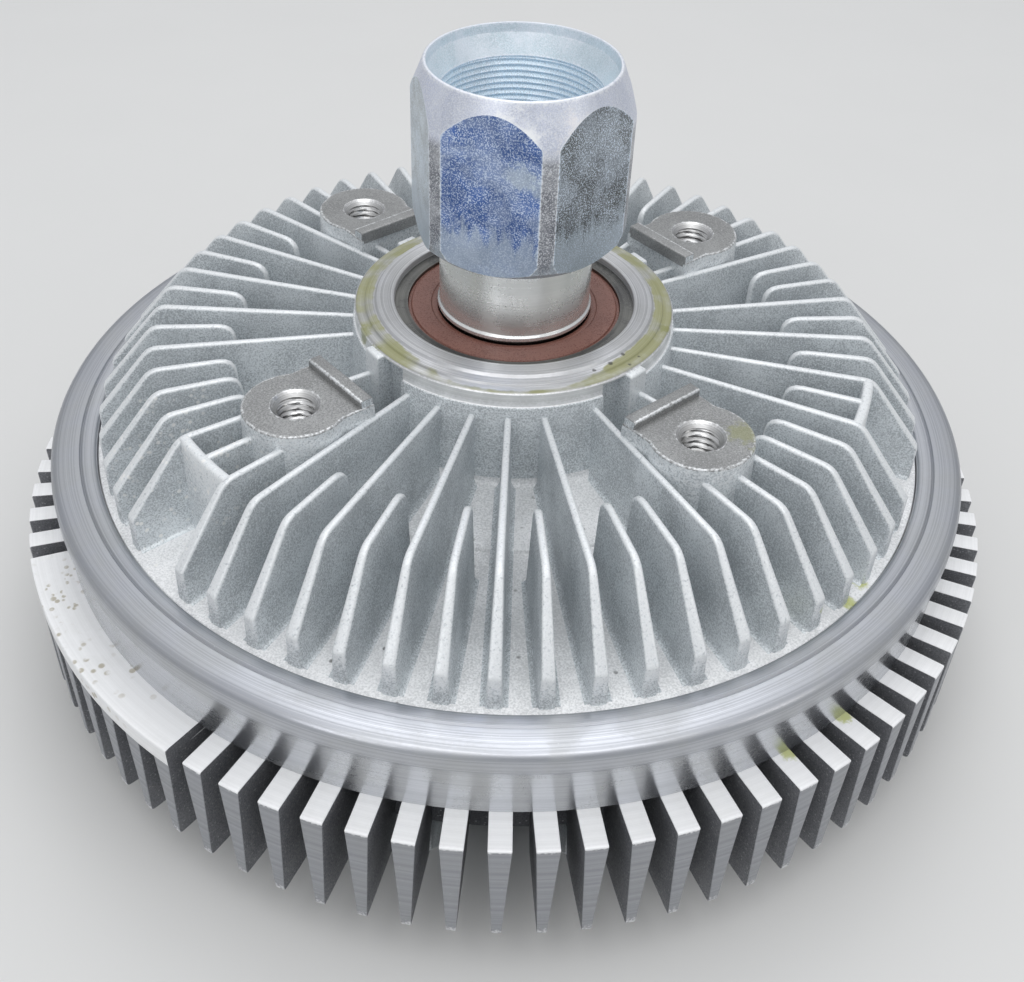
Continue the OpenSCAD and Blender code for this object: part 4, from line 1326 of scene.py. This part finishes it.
@dataclass
class FrontCover(SubAssembly):
    """Front casting: rolled rim, turned skirt, crown of fins, flange sector and nose fins, in millimetres."""

    name = "front_casting"
    carrier = "housing"
    node = "front_cover"
    slot = "cast_cover"

    rim_r: float = 90.3
    core_r: float = 82.0
    crown_count: int = 80
    crown_angle: float = -89.3
    crown_r: float = 96.9
    crown_tip_z: float = 9.7
    crown_top_t: float = 3.9
    crown_tip_t: float = 1.6
    sector_first: int = -15
    sector_fins: int = 8
    sector_t: float = 4.0
    nose_in_r: float = 41.0
    nose_out_r: float = 74.0
    nose_t: float = 2.4
    face_z: float = 19.2
    coil_room_z: float = 13.4
    bush_r: float = 5.02
    bush_boss_r: float = 8.0
    bush_top_z: float = 21.4
    groove_r: tuple[float, float, float] = (84.8, 84.55, 84.2)
    chamber_r: float = 76.6
    chamber_z: float = 27.2
    plate_r: float = 45.0
    plate_z: float = 29.9
    well_z: float = 18.4
    land_z: float = 26.2

    CAST, TURNED, SKIRT, RIM, GAP, FRONT, SIDE = range(7)

    def body(self) -> Shape:
        """Makes the turned body of the cover, without fins."""
        top = LEVELS.floor_rim_z + 1
        flange, chamber_in = LEVELS.flange_r + 0.1, LEVELS.chamber_in_r
        section, wear, kinds = banded([
            (self.CAST, [Corner(self.bush_r, self.coil_room_z), Corner(self.nose_in_r, self.coil_room_z, 1.0),
                         Corner(self.nose_in_r + 5, self.face_z, 1.0)]),
            # The core wall in the crown's gaps takes the gap finish, which is painted shade.
            (self.GAP, [Corner(self.core_r, self.face_z), Corner(self.core_r, LEVELS.skirt_z)]),
            (self.SKIRT, [Corner(LEVELS.skirt_r, LEVELS.skirt_z, 0.15)]),
            (self.RIM, [Corner(LEVELS.skirt_r, LEVELS.rim_z - 2.5, 0.3),
                        Corner(self.rim_r, LEVELS.rim_z - 1.6, 0.6),
                        Corner(self.rim_r, top, 2.4), Corner(self.groove_r[0], top, 0.05),
                        Corner(self.groove_r[1], top - 0.3, 0.08), Corner(self.groove_r[2], top, 0.1),
                        Corner(LEVELS.lip_in_r, top - 0.25, 0.7)]),
            (self.TURNED, [Corner(LEVELS.lip_in_r, LEVELS.flange_top_z), Corner(flange, LEVELS.flange_top_z),
                           Corner(flange, LEVELS.seat_z), Corner(self.chamber_r, LEVELS.seat_z),
                           Corner(self.chamber_r, self.chamber_z), Corner(chamber_in, self.chamber_z),
                           Corner(chamber_in, self.plate_z), Corner(self.plate_r, self.plate_z),
                           Corner(self.plate_r, self.well_z), Corner(self.bush_boss_r, self.well_z),
                           Corner(self.bush_boss_r, self.bush_top_z), Corner(self.bush_r, self.bush_top_z)])])
        shape = Shape()
        shape.turn(section, kinds, wear)
        add_lands(shape, self.land_z, self.TURNED)
        return shape

    def crown_fin(self, top_z: float) -> Shape:
        """Makes one crown fin on the azimuth 0.

        Args:
            top_z: Height of its top.

        Returns:
            The fin.
        """
        shape = Shape()
        inner, outer, tip_z = self.core_r - 1, self.crown_r, self.crown_tip_z
        corners = [Corner(inner, tip_z), Corner(outer - 2, tip_z), Corner(outer, tip_z, 1.2, 0.8),
                   Corner(outer, tip_z + 3), Corner(outer, top_z - 0.9), Corner(outer, top_z, 0.3, 1.0),
                   Corner(outer - 0.9, top_z), Corner(inner, top_z)]
        taper = drafted(tip_z, self.crown_tip_t, LEVELS.skirt_z, self.crown_top_t)
        # The sides take a dark finish, painted as the shade between the fins.
        rim = [self.SIDE] + [self.FRONT] * 4 + [self.TURNED] * 2 + [self.SIDE]
        # The front takes a darker copy and the top a paler copy of the turned finish: painted shade and
        # painted light.
        shape.plate(corners, taper, 0.15, self.SIDE, arched=True, rim=rim)
        return shape

    def shape(self) -> Shape:
        """Joins the body, the crown's fins, the flange sector and the nose fins."""
        shape = self.body()
        pitch = 360 / self.crown_count
        sector = range(self.sector_first, self.sector_first + self.sector_fins)
        free, covered = self.crown_fin(LEVELS.skirt_z), self.crown_fin(LEVELS.skirt_z - self.sector_t / 2)
        for i in range(self.sector_first, self.sector_first + self.crown_count):
            shape.place(covered if i in sector else free, self.crown_angle + pitch * i)
        half_fin = math.degrees(math.asin(self.crown_top_t / 2 / self.crown_r))
        first, last = (self.crown_angle + pitch * i for i in (sector[0], sector[-1]))
        top, under, edge_r = LEVELS.skirt_z + 0.2, LEVELS.skirt_z - self.sector_t, self.crown_r + 0.1
        section, wear, kinds = banded([
            # The sector's underside and ends take the sides' finish, which is painted shade.
            (self.SIDE, [Corner(self.core_r - 1, under)]),
            (self.TURNED, [Corner(edge_r, under, 0.5), Corner(edge_r, top - 1.1),
                           Corner(edge_r, top, 0.3, 0.9), Corner(edge_r - 1, top),
                           Corner(self.core_r - 1, top)])])
        shape.turn(section, kinds, wear, span=(first - half_fin, last + half_fin))
        fin = Shape()
        outer, root_z = self.core_r + 0.5, self.face_z + 1
        outline = [Corner(self.nose_in_r, 0.0, 1.0, 0.8), Corner(self.nose_out_r, 0.0, 2.0, 0.8),
                   Corner(outer, self.crown_tip_z + 1, 0.5, 0.8), Corner(outer, root_z),
                   Corner(self.nose_in_r, root_z)]
        fin.plate(outline, drafted(0.0, self.nose_t, 1.0, self.nose_t), 0.45, self.CAST)
        for i in range(self.crown_count // 2):
            shape.place(fin, self.crown_angle + 2 * pitch * i)
        return shape


@dataclass
class InputShaft(SubAssembly):
    """Hexagon coupling with its thread, neck and journal. Sizes are in millimetres and degrees."""

    name = "coupling_shaft"
    carrier = "input"
    node = "input_shaft"
    slot = "plated_steel"
    sharp = 17.0

    neck_r: float = 14.3
    neck_z: float = 72.6
    across_flats: float = 36.0
    corner_r: float = 20.0
    hex_z: float = 88.3
    hex_top_z: float = 120.3
    flat_angle: float = -105.2
    cone_z: float = 113.2
    cone_end: tuple[float, float] = (18.0, 117.9)
    crest_r: float = 17.05
    mouth_edge_r: float = 16.56
    mouth_r: float = 16.2
    mouth_z: float = 118.7
    thread_r: float = 14.2
    thread_z: float = 115.2
    thread_end_z: float = 98.3
    thread_h: float = 0.5
    pitch: float = 1.1
    journal_r: float = 9.98
    journal_z: float = 32.0
    race_r: float = 13.95
    edge_line: float = 0.35

    FLAT, BAND, NECK, MOUTH, THREAD = range(5)

    def outline(self) -> tuple[Points, Points, Points]:
        """Gives the turned outline, with rows that follow the creases of the flats.

        Returns:
            The points as rows of r and z, and the wear and the finish number of each point.
        """
        foot, top, neck, bead = self.hex_z, self.hex_top_z, self.neck_z, self.neck_r + 0.4
        section, wear, kinds = banded([
            (self.NECK, [Corner(0.0, self.journal_z), Corner(self.journal_r, self.journal_z, 0.6),
                         Corner(self.journal_r, neck), Corner(self.race_r, neck),
                         Corner(self.race_r, neck + 0.4), Corner(bead, neck + 0.4, 0.15, 0.8),
                         Corner(bead, neck + 1.1, 0.2, 0.8), Corner(self.neck_r, neck + 1.5, 0.3),
                         Corner(self.neck_r, foot, 0.5)]),
            (self.BAND, [Corner(self.corner_r - 2.2, foot, 0.3, 1.0),
                         Corner(self.corner_r - 0.5, foot + 1.6, 0.6, 0.3),
                         Corner(self.corner_r, foot + 3.4, 1.0), Corner(self.corner_r, self.cone_z, 2.0),
                         Corner(*self.cone_end, 1.2, 0.3), Corner(self.crest_r, top, 0.5, 0.8)]),
            (self.MOUTH, [Corner(self.mouth_edge_r, top, 0.12, 0.9),
                          Corner(self.mouth_r, self.mouth_z, 0.3, 0.5)]),
            (self.THREAD, [Corner(self.thread_r, self.thread_z, 0.1, 0.8),
                           Corner(self.thread_r, self.thread_end_z), Corner(0.0, self.thread_end_z)])],
            steps=6, closed=False)
        creases = self.across_flats / 2 / np.cos(np.radians(np.arange(0, 25.8, 1.5)))
        spacing = {self.NECK: 3.0, self.THREAD: self.pitch / 8}
        rows, worn, finish = [], [], []
        for k, (start, end) in enumerate(zip(section[:-1], section[1:])):
            length = float(np.hypot(*(end - start)))
            level = end[0] < start[0] - 1 and kinds[k] == self.THREAD
            count = max(1, math.ceil(length / (3.0 if level else spacing.get(kinds[k], 0.6))))
            shares = np.linspace(0, 1, count + 1)
            if abs(end[0] - start[0]) > 1e-6:
                shares = np.union1d(shares, (creases - start[0]) / (end[0] - start[0]))
            shares = shares[(shares >= 0) & (shares < 1 - 1e-9)]
            rows.extend(start + share * (end - start) for share in shares)
            worn.extend(wear[k] if share == 0 else 0.0 for share in shares)
            finish.extend(kinds[k] for _ in shares)
        return np.array([*rows, section[-1]]), np.array([*worn, 0.0]), np.array([*finish, self.THREAD])

    def shape(self) -> Shape:
        """Makes the shaft on a grid whose columns follow the creases between flats and turned bands."""
        section, wear, kinds = self.outline()
        turned, z = section[:, :1], section[:, 1:]
        half, sixth = self.across_flats / 2, math.pi / 3
        crease = np.arccos(np.minimum(half / np.maximum(turned, half), 1.0))
        line = self.edge_line / half
        on_flat, on_band = np.minimum(line, 0.4 * crease), np.minimum(line, 0.4 * (sixth / 2 - crease))
        flat = np.linspace(-1, 1, 11) * (crease - on_flat)
        band = crease + on_band + np.linspace(0, 1, 20) * (sixth - 2 * crease - 2 * on_band)
        local = np.concatenate([-crease, flat, crease, band], 1)
        cut = np.where(np.abs(local) <= crease + 1e-9, np.minimum(turned, half / np.cos(local)), turned)
        edge = np.zeros(local.shape)
        edge[:, [0, 12]] = (crease > 0.02) * 0.9
        starts = math.radians(self.flat_angle) + sixth * np.arange(6)
        azimuth = (local[:, None, :] + starts[None, :, None]).reshape(len(section), -1)
        r, worn = np.tile(cut, 6), np.maximum(np.tile(edge, 6), wear[:, None])
        on_wall = np.abs(turned - self.thread_r) < 1e-6
        threaded = on_wall & (z < self.thread_z - 0.2) & (z > self.thread_end_z + 1)
        tooth = 1 - np.abs(2 * np.mod(z / self.pitch - azimuth / (2 * math.pi), 1.0) - 1)
        r = r + np.where(threaded, self.thread_h * tooth, 0.0)
        worn = np.maximum(worn, np.where(threaded, np.clip(1 - 3 * tooth, 0, 1), 0.0))
        sides = np.tile([self.FLAT] * 12 + [self.BAND] * 21, 6)
        finish = np.where(kinds[:, None] == self.BAND, sides[None, :], kinds[:, None])
        shape = Shape()
        points = np.stack([r * np.cos(azimuth), r * np.sin(azimuth), np.broadcast_to(z, r.shape)], -1)
        shape.add_grid(points, finish, (False, True), worn)
        return shape


@dataclass
class BearingFace(SubAssembly):
    """Seal on the visible rear face of the bearing. Sizes are in millimetres."""

    name = "bearing_seal"
    carrier = "housing"
    node = "bearing_seal_rear"
    slot = "red_seal"

    seal_in_r: float = 14.65
    seal_r: float = 20.35
    seal_z: float = 70.8
    seal_top_z: float = 72.4

    def shape(self) -> Shape:
        """Makes the seal with its two lips."""
        low, top = self.seal_z, self.seal_top_z
        section, wear = rounded([
            Corner(self.seal_in_r, low), Corner(self.seal_r, low), Corner(self.seal_r, top - 0.35, 0.15),
            Corner(self.seal_r - 0.6, top - 0.35, 0.1), Corner(self.seal_r - 0.8, top, 0.2, 0.4),
            Corner(self.seal_in_r + 1.3, top, 0.2), Corner(self.seal_in_r + 1.1, top - 0.2, 0.1),
            Corner(self.seal_in_r + 0.7, top - 0.1, 0.1), Corner(self.seal_in_r, top - 0.1, 0.1)])
        shape = Shape()
        shape.turn(section, 0, wear)
        return shape


@dataclass
class InnerWorks:
    """Pieces that keep their CAD meshes, with a finish for each node."""

    finishes: dict[str, Finish]

    def dress(self, effects: Effects) -> int:
        """Gives each node its material.

        Args:
            effects: The shared node groups.

        Returns:
            The number of nodes that were dressed.
        """
        made: dict[str, bpy.types.Material] = {}
        for node, finish in self.finishes.items():
            if finish.name not in made:
                made[finish.name] = finish.material(effects)
            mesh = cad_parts[node].data
            mesh.materials.clear()
            mesh.materials.append(made[finish.name])
        return len(self.finishes)


@dataclass
class Studio:
    """Floor, lights and camera. Sizes are in millimetres and degrees, or in metres where a name ends in m."""

    eye: tuple[float, float, float] = (0.0, -212.87, 207.18)
    down: float = 40.635
    yaw: float = -0.51
    roll: float = 2.6
    focal_px: float = 1296.0
    middle_x: float = 515.4
    image_w: int = 1024
    aim_m: tuple[float, float, float] = (0.0, 0.0, 0.05)
    lamp_m: float = 0.9
    floor_m: float = 3.0
    floor_colour: Colour = (0.70, 0.70, 0.69)
    low_light: Colour = (0.32, 0.335, 0.36)
    high_light: Colour = (0.76, 0.77, 0.79)

    def camera(self) -> None:
        """Makes the camera at the photograph's angle."""
        pitch, yaw, roll = (math.radians(a) for a in (self.down, self.yaw, self.roll))
        turn = Matrix.Rotation(yaw, 3, "Z")
        ahead = turn @ Vector((0, math.cos(pitch), -math.sin(pitch)))
        up = turn @ Vector((0, math.sin(pitch), math.cos(pitch)))
        right = turn @ Vector((1, 0, 0))
        level = math.cos(roll) * right + math.sin(roll) * up
        top = -math.sin(roll) * right + math.cos(roll) * up
        data = bpy.data.cameras.new("camera")
        data.sensor_width = 36.0
        data.sensor_fit = "HORIZONTAL"
        data.lens = data.sensor_width * self.focal_px / self.image_w
        data.shift_x = -(self.middle_x - self.image_w / 2) / self.image_w
        data.clip_start = 0.01
        thing = bpy.data.objects.new("camera", data)
        rotation = Matrix((level, top, -ahead)).transposed()
        thing.matrix_world = Matrix.Translation(Vector(self.eye) * MM) @ rotation.to_4x4()
        bpy.context.scene.collection.objects.link(thing)
        bpy.context.scene.camera = thing

    def lamp(self, name: str, azimuth: float, elevation: float, size: float, power: float,
             colour: Colour = (1.0, 1.0, 1.0)) -> None:
        """Adds a soft square lamp that looks at the object.

        Args:
            name: Name of the lamp.
            azimuth: Direction in degrees, 0 along X.
            elevation: Height in degrees.
            size: Side of the square in metres.
            power: Power in watts.
            colour: Colour of its light.
        """
        data = bpy.data.lights.new(name, "AREA")
        data.size = size
        data.energy = power
        data.color = colour
        thing = bpy.data.objects.new(name, data)
        a, e = math.radians(azimuth), math.radians(elevation)
        away = Vector((math.cos(a) * math.cos(e), math.sin(a) * math.cos(e), math.sin(e)))
        thing.location = Vector(self.aim_m) + away * self.lamp_m
        thing.rotation_mode = "QUATERNION"
        thing.rotation_quaternion = (-away).to_track_quat("-Z", "Y")
        bpy.context.scene.collection.objects.link(thing)

    def floor(self) -> None:
        """Makes the floor, a wide plain sheet under the clutch."""
        mesh = bpy.data.meshes.new("floor")
        work = bmesh.new()
        bmesh.ops.create_grid(work, x_segments=8, y_segments=8, size=self.floor_m)
        work.to_mesh(mesh)
        work.free()
        thing = bpy.data.objects.new("floor", mesh)
        material = bpy.data.materials.new("floor_paper")
        material.use_nodes = True
        tree = Tree(material.node_tree)
        shader = material.node_tree.nodes["Principled BSDF"]
        grain = tree.noise(tree.millimetres(), 40.0, 3.0)
        darker = tuple(c * 0.97 for c in self.floor_colour)
        tree.feed(shader.inputs["Base Color"], tree.blend(grain, darker, self.floor_colour))
        shader.inputs["Roughness"].default_value = 0.85
        mesh.materials.append(material)
        bpy.context.scene.collection.objects.link(thing)

    def world(self) -> None:
        """Makes the even light of the room, brighter overhead."""
        world = bpy.data.worlds.new("studio")
        world.use_nodes = True
        bpy.context.scene.world = world
        tree = Tree(world.node_tree)
        back = world.node_tree.nodes["Background"]
        around = tree.add("ShaderNodeTexCoord").outputs["Generated"]
        up = tree.add("ShaderNodeSeparateXYZ", {"Vector": around}).outputs["Z"]
        share = tree.span(up, -0.1, 0.9)
        tree.feed(back.inputs["Color"], tree.blend(share, self.low_light, self.high_light))
        back.inputs["Strength"].default_value = 1.0

    def build(self) -> None:
        """Builds the floor, lights and camera."""
        self.floor()
        self.world()
        self.lamp("front_lamp", azimuth=-84, elevation=70, size=0.8, power=2.8)
        self.lamp("back_lamp", azimuth=88, elevation=62, size=0.5, power=1.2, colour=(0.97, 0.98, 1.0))
        self.lamp("left_lamp", azimuth=-120, elevation=24, size=0.3, power=0.55)
        self.lamp("right_lamp", azimuth=-30, elevation=24, size=0.25, power=0.3, colour=(1.0, 0.97, 0.92))
        self.camera()
        bpy.context.scene.view_settings.view_transform = "Standard"


# Finishes of this clutch

NICK: Colour = (0.03, 0.03, 0.03)
OLIVE: Colour = (0.25, 0.26, 0.09)
POWDER: Colour = (0.88, 0.88, 0.86)
TAN: Colour = (0.33, 0.28, 0.17)
WIPED: Colour = (0.60, 0.68, 0.70)
HIGHLIGHT_WHITE: Colour = (0.95, 0.96, 0.97)
HIGHLIGHT_WARM: Colour = (0.93, 0.89, 0.87)
BAND_MARKS = (
    Mark((-27.4, -12.8, 72.0), 3.6, OLIVE), Mark((-24.8, -17.6, 71.8), 2.4, OLIVE),
    Mark((28.5, -8.0, 72.6), 2.2, OLIVE),
)
HUB_MARKS = (
    Mark((20.1, -17.9, 73.4), 0.7, NICK, 0.8), Mark((17.7, -20.8, 73.4), 0.8, NICK, 0.8),
    Mark((14.7, -23.2, 73.4), 0.7, NICK, 0.8), Mark((23.1, -17.6, 73.2), 0.7, NICK, 0.8),
    Mark((21.3, -20.2, 73.2), 0.7, NICK, 0.8), *BAND_MARKS,
)
FIN_MARKS = (
    Mark((40.4, -66.0, 52.0), 3.0), Mark((55.1, -58.8, 52.0), 2.6), Mark((45.5, -60.2, 49.5), 2.4),
    Mark((-57.0, -42.0, 60.0), 22.0, POWDER, 0.95, 0.6), Mark((-62.0, -30.0, 60.0), 16.0, POWDER, 0.9, 0.55),
)
FLOOR_MARKS = (
    Mark((45.5, -60.2, 48.5), 3.0), Mark((60.2, -53.4, 48.5), 3.2), Mark((62.9, -48.4, 48.5), 2.6),
    Mark((-58.0, -50.0, 49.0), 14.0, POWDER, 0.7, 0.5),
)
FACE_MARKS = (Mark((40.6, -36.2, 70.7), 5.5, OLIVE, 0.55), Mark((42.4, -41.0, 69.5), 3.0, OLIVE, 0.5))
CROWN_MARKS = (
    Mark((49.3, -75.3, 33.8), 3.0), Mark((59.9, -67.5, 33.8), 3.0),
    Mark((-74.0, -55.0, 34.0), 26.0, TAN, 0.7, 0.9), Mark((-79.0, -46.0, 34.0), 14.0, TAN, 0.7, 0.7),
)
FLAT_MARKS = (
    Mark((0.2, -18.7, 108.0), 4.5, WIPED, 0.45), Mark((3.2, -19.5, 106.2), 3.5, WIPED, 0.35),
)
# Painted highlights on the cone: a white one in front and a warm pale one towards the right.
CONE_HIGHLIGHTS = (
    Mark((-1.0, -18.6, 113.5), 9.0, HIGHLIGHT_WHITE, 0.85), Mark((10.0, -16.2, 114.0), 7.0, HIGHLIGHT_WARM, 0.5),
)
HOUSING_FINISHES = (
    CastFinish("blasted_fins", marks=FIN_MARKS),
    # The floor between the fins: a paler copy of the blasted skin painted as the light that reaches it, with
    # real grit and powder on it.
    CastFinish("floor_skin_painted_light", dark=(0.68, 0.69, 0.695), light=(0.96, 0.965, 0.97), grain=0.34, metal=0.1,
               grit=0.8, marks=FLOOR_MARKS),
    TurnedFinish("turned_hub", rough=(0.3, 0.42), drawn=0.85, ring=(26.8, 30.25, 72.7), marks=HUB_MARKS),
    CastFinish("faced_boss", dark=(0.23, 0.233, 0.232), light=(0.38, 0.383, 0.381), grain=0.24, depth=0.025,
               rough=(0.36, 0.48), metal=0.5, specks=0.25, marks=FACE_MARKS),
    TurnedFinish("tapped_hole", dark=(0.45, 0.45, 0.45), light=(0.7, 0.7, 0.7), pitch=0.4, rough=(0.25, 0.4)),
    TurnedFinish("turned_band", dark=(0.72, 0.73, 0.72), light=(0.86, 0.87, 0.86), metal=0.4,
                 rough=(0.3, 0.42), stained=0.1, marks=BAND_MARKS),
)
COVER_FINISHES = (
    CastFinish("cast_cover_skin"),
    # Turned faces of the cover. The crown and sector tops are painted near white as the lit copy of the
    # turned finish.
    TurnedFinish("turned_cover_painted_light", dark=(0.86, 0.865, 0.87), light=(0.93, 0.935, 0.94), pitch=0.16, depth=0.004,
                 rough=(0.36, 0.48), metal=0.15, stained=0.08, marks=CROWN_MARKS),
    TurnedFinish("turned_skirt", dark=(0.50, 0.515, 0.545), light=(0.59, 0.605, 0.635), pitch=0.2,
                 depth=0.0004, rough=(0.2, 0.24), drawn=0.3),
    TurnedFinish("turned_rim", dark=(0.43, 0.445, 0.48), light=(0.57, 0.585, 0.62), pitch=0.25, depth=0.005,
                 rough=(0.28, 0.4), drawn=0.5),
    # Core wall and skirt underside in the gaps between the crown fins, painted near black as shade.
    CastFinish("crown_gap_painted_shade", dark=(0.06, 0.065, 0.075), light=(0.11, 0.115, 0.13)),
    # The crown fins' turned fronts, a darker copy of the same turned finish: painted shade.
    TurnedFinish("crown_front_painted_shade", dark=(0.31, 0.32, 0.345), light=(0.38, 0.39, 0.415), pitch=0.16,
                 depth=0.004, rough=(0.36, 0.48), metal=0.6, stained=0.1),
    # Sides of the crown fins and the sector's ends, painted dark as the shade between the fins.
    CastFinish("crown_sides_painted_shade", dark=(0.16, 0.165, 0.18), light=(0.26, 0.265, 0.28)),
)
SHAFT_FINISHES = (
    # Front flat: the film's blue; right flat (-45.2): painted shade; left flat (-165.2): painted pale
    # reflection.
    PlatedFinish("zinc_flats", wiped_z=96.5, pale=(0.72, 0.81, 0.93), marks=FLAT_MARKS,
                 side_tints_and_light=((-105.2, 18.0, (0.05, 0.11, 0.31)), (-45.2, 18.0, (0.085, 0.092, 0.092)),
                        (-165.2, 18.0, (0.30, 0.34, 0.36)))),
    # The cone and corner bands, with the cone's painted highlights.
    PlatedFinish("zinc_bands", grey=(0.72, 0.76, 0.88), pale=(0.90, 0.92, 0.96), specks=0.6, wiped_z=91.5,
                 dark_z=111.5, rough=(0.34, 0.5), marks=CONE_HIGHLIGHTS),
    TurnedFinish("ground_neck", dark=(0.86, 0.87, 0.855), light=(0.92, 0.925, 0.91), pitch=0.5, depth=0.0004,
                 rough=(0.2, 0.25), metal=0.8, drawn=0.7, stained=0.06),
    PlatedFinish("zinc_mouth", grey=(0.66, 0.77, 0.83), specks=0.5, cloudy=0.5, rough=(0.3, 0.44), metal=0.3),
    PlatedFinish("zinc_thread", grey=(0.72, 0.86, 0.96), specks=0.2, cloudy=0.15, rough=(0.26, 0.4),
                 metal=0.2),
)
RED_RUBBER = RubberFinish("red_rubber", (0.16, 0.066, 0.05), (0.24, 0.11, 0.085), (0.26, 0.38))
BLACK_RUBBER = RubberFinish("black_rubber", (0.012, 0.012, 0.012), (0.035, 0.035, 0.035))
GROUND_STEEL = TurnedFinish("ground_race", dark=(0.09, 0.09, 0.09), light=(0.17, 0.17, 0.165), pitch=0.12,
                            from_mesh=False)
BALL_STEEL = TurnedFinish("ball_steel", dark=(0.70, 0.70, 0.71), light=(0.78, 0.78, 0.79), pitch=0.9,
                          depth=0.0005, rough=(0.06, 0.12), from_mesh=False, stained=0.05)
ROTOR_METAL = TurnedFinish("turned_rotor", pitch=0.35, from_mesh=False)
PLATE_STEEL = TurnedFinish("rolled_plate", dark=(0.50, 0.50, 0.50), light=(0.62, 0.62, 0.61), pitch=1.2,
                           from_mesh=False)
DARK_SPRING = TurnedFinish("dark_spring", dark=(0.14, 0.14, 0.15), light=(0.24, 0.24, 0.25), from_mesh=False)
BRASS = TurnedFinish("bush_brass", dark=(0.55, 0.40, 0.16), light=(0.72, 0.56, 0.26), from_mesh=False,
                     stain=(0.30, 0.22, 0.10))
BIMETAL = TurnedFinish("bimetal_strip", dark=(0.46, 0.37, 0.26), light=(0.68, 0.57, 0.42), pitch=0.6,
                       from_mesh=False, stain=(0.32, 0.26, 0.20))
INNER_FINISHES: dict[str, Finish] = {
    "cover_seal": BLACK_RUBBER, "valve_shaft_seal": BLACK_RUBBER, "bearing_seal_front": RED_RUBBER,
    "bearing_outer_race": GROUND_STEEL, "bearing_inner_race": GROUND_STEEL, "bearing_balls": BALL_STEEL,
    "bearing_cage": BRASS, "valve_bush": BRASS, "rotor_disc": ROTOR_METAL,
    "rotor_retaining_ring": DARK_SPRING, "pump_plate": PLATE_STEEL, "plate_rivets": PLATE_STEEL,
    "valve_arm": PLATE_STEEL, "valve_shaft": PLATE_STEEL, "coil_bracket": PLATE_STEEL,
    "bracket_screws": PLATE_STEEL, "bimetal_coil": BIMETAL,
}


def main() -> None:
    """Builds the sub-assemblies in order and reports each piece."""
    logging.basicConfig(level=logging.INFO, format="%(name)s: %(message)s")
    effects = Effects()
    effects.build()
    pieces = [RearHousing().build(effects, HOUSING_FINISHES), FrontCover().build(effects, COVER_FINISHES),
              InputShaft().build(effects, SHAFT_FINISHES), BearingFace().build(effects, (RED_RUBBER,))]
    for piece in pieces:
        log.info("%s: %d faces", piece.name, len(piece.data.polygons))
    log.info("CAD nodes dressed: %d", InnerWorks(INNER_FINISHES).dress(effects))
    Studio().build()


if __name__ == "__main__":
    main()
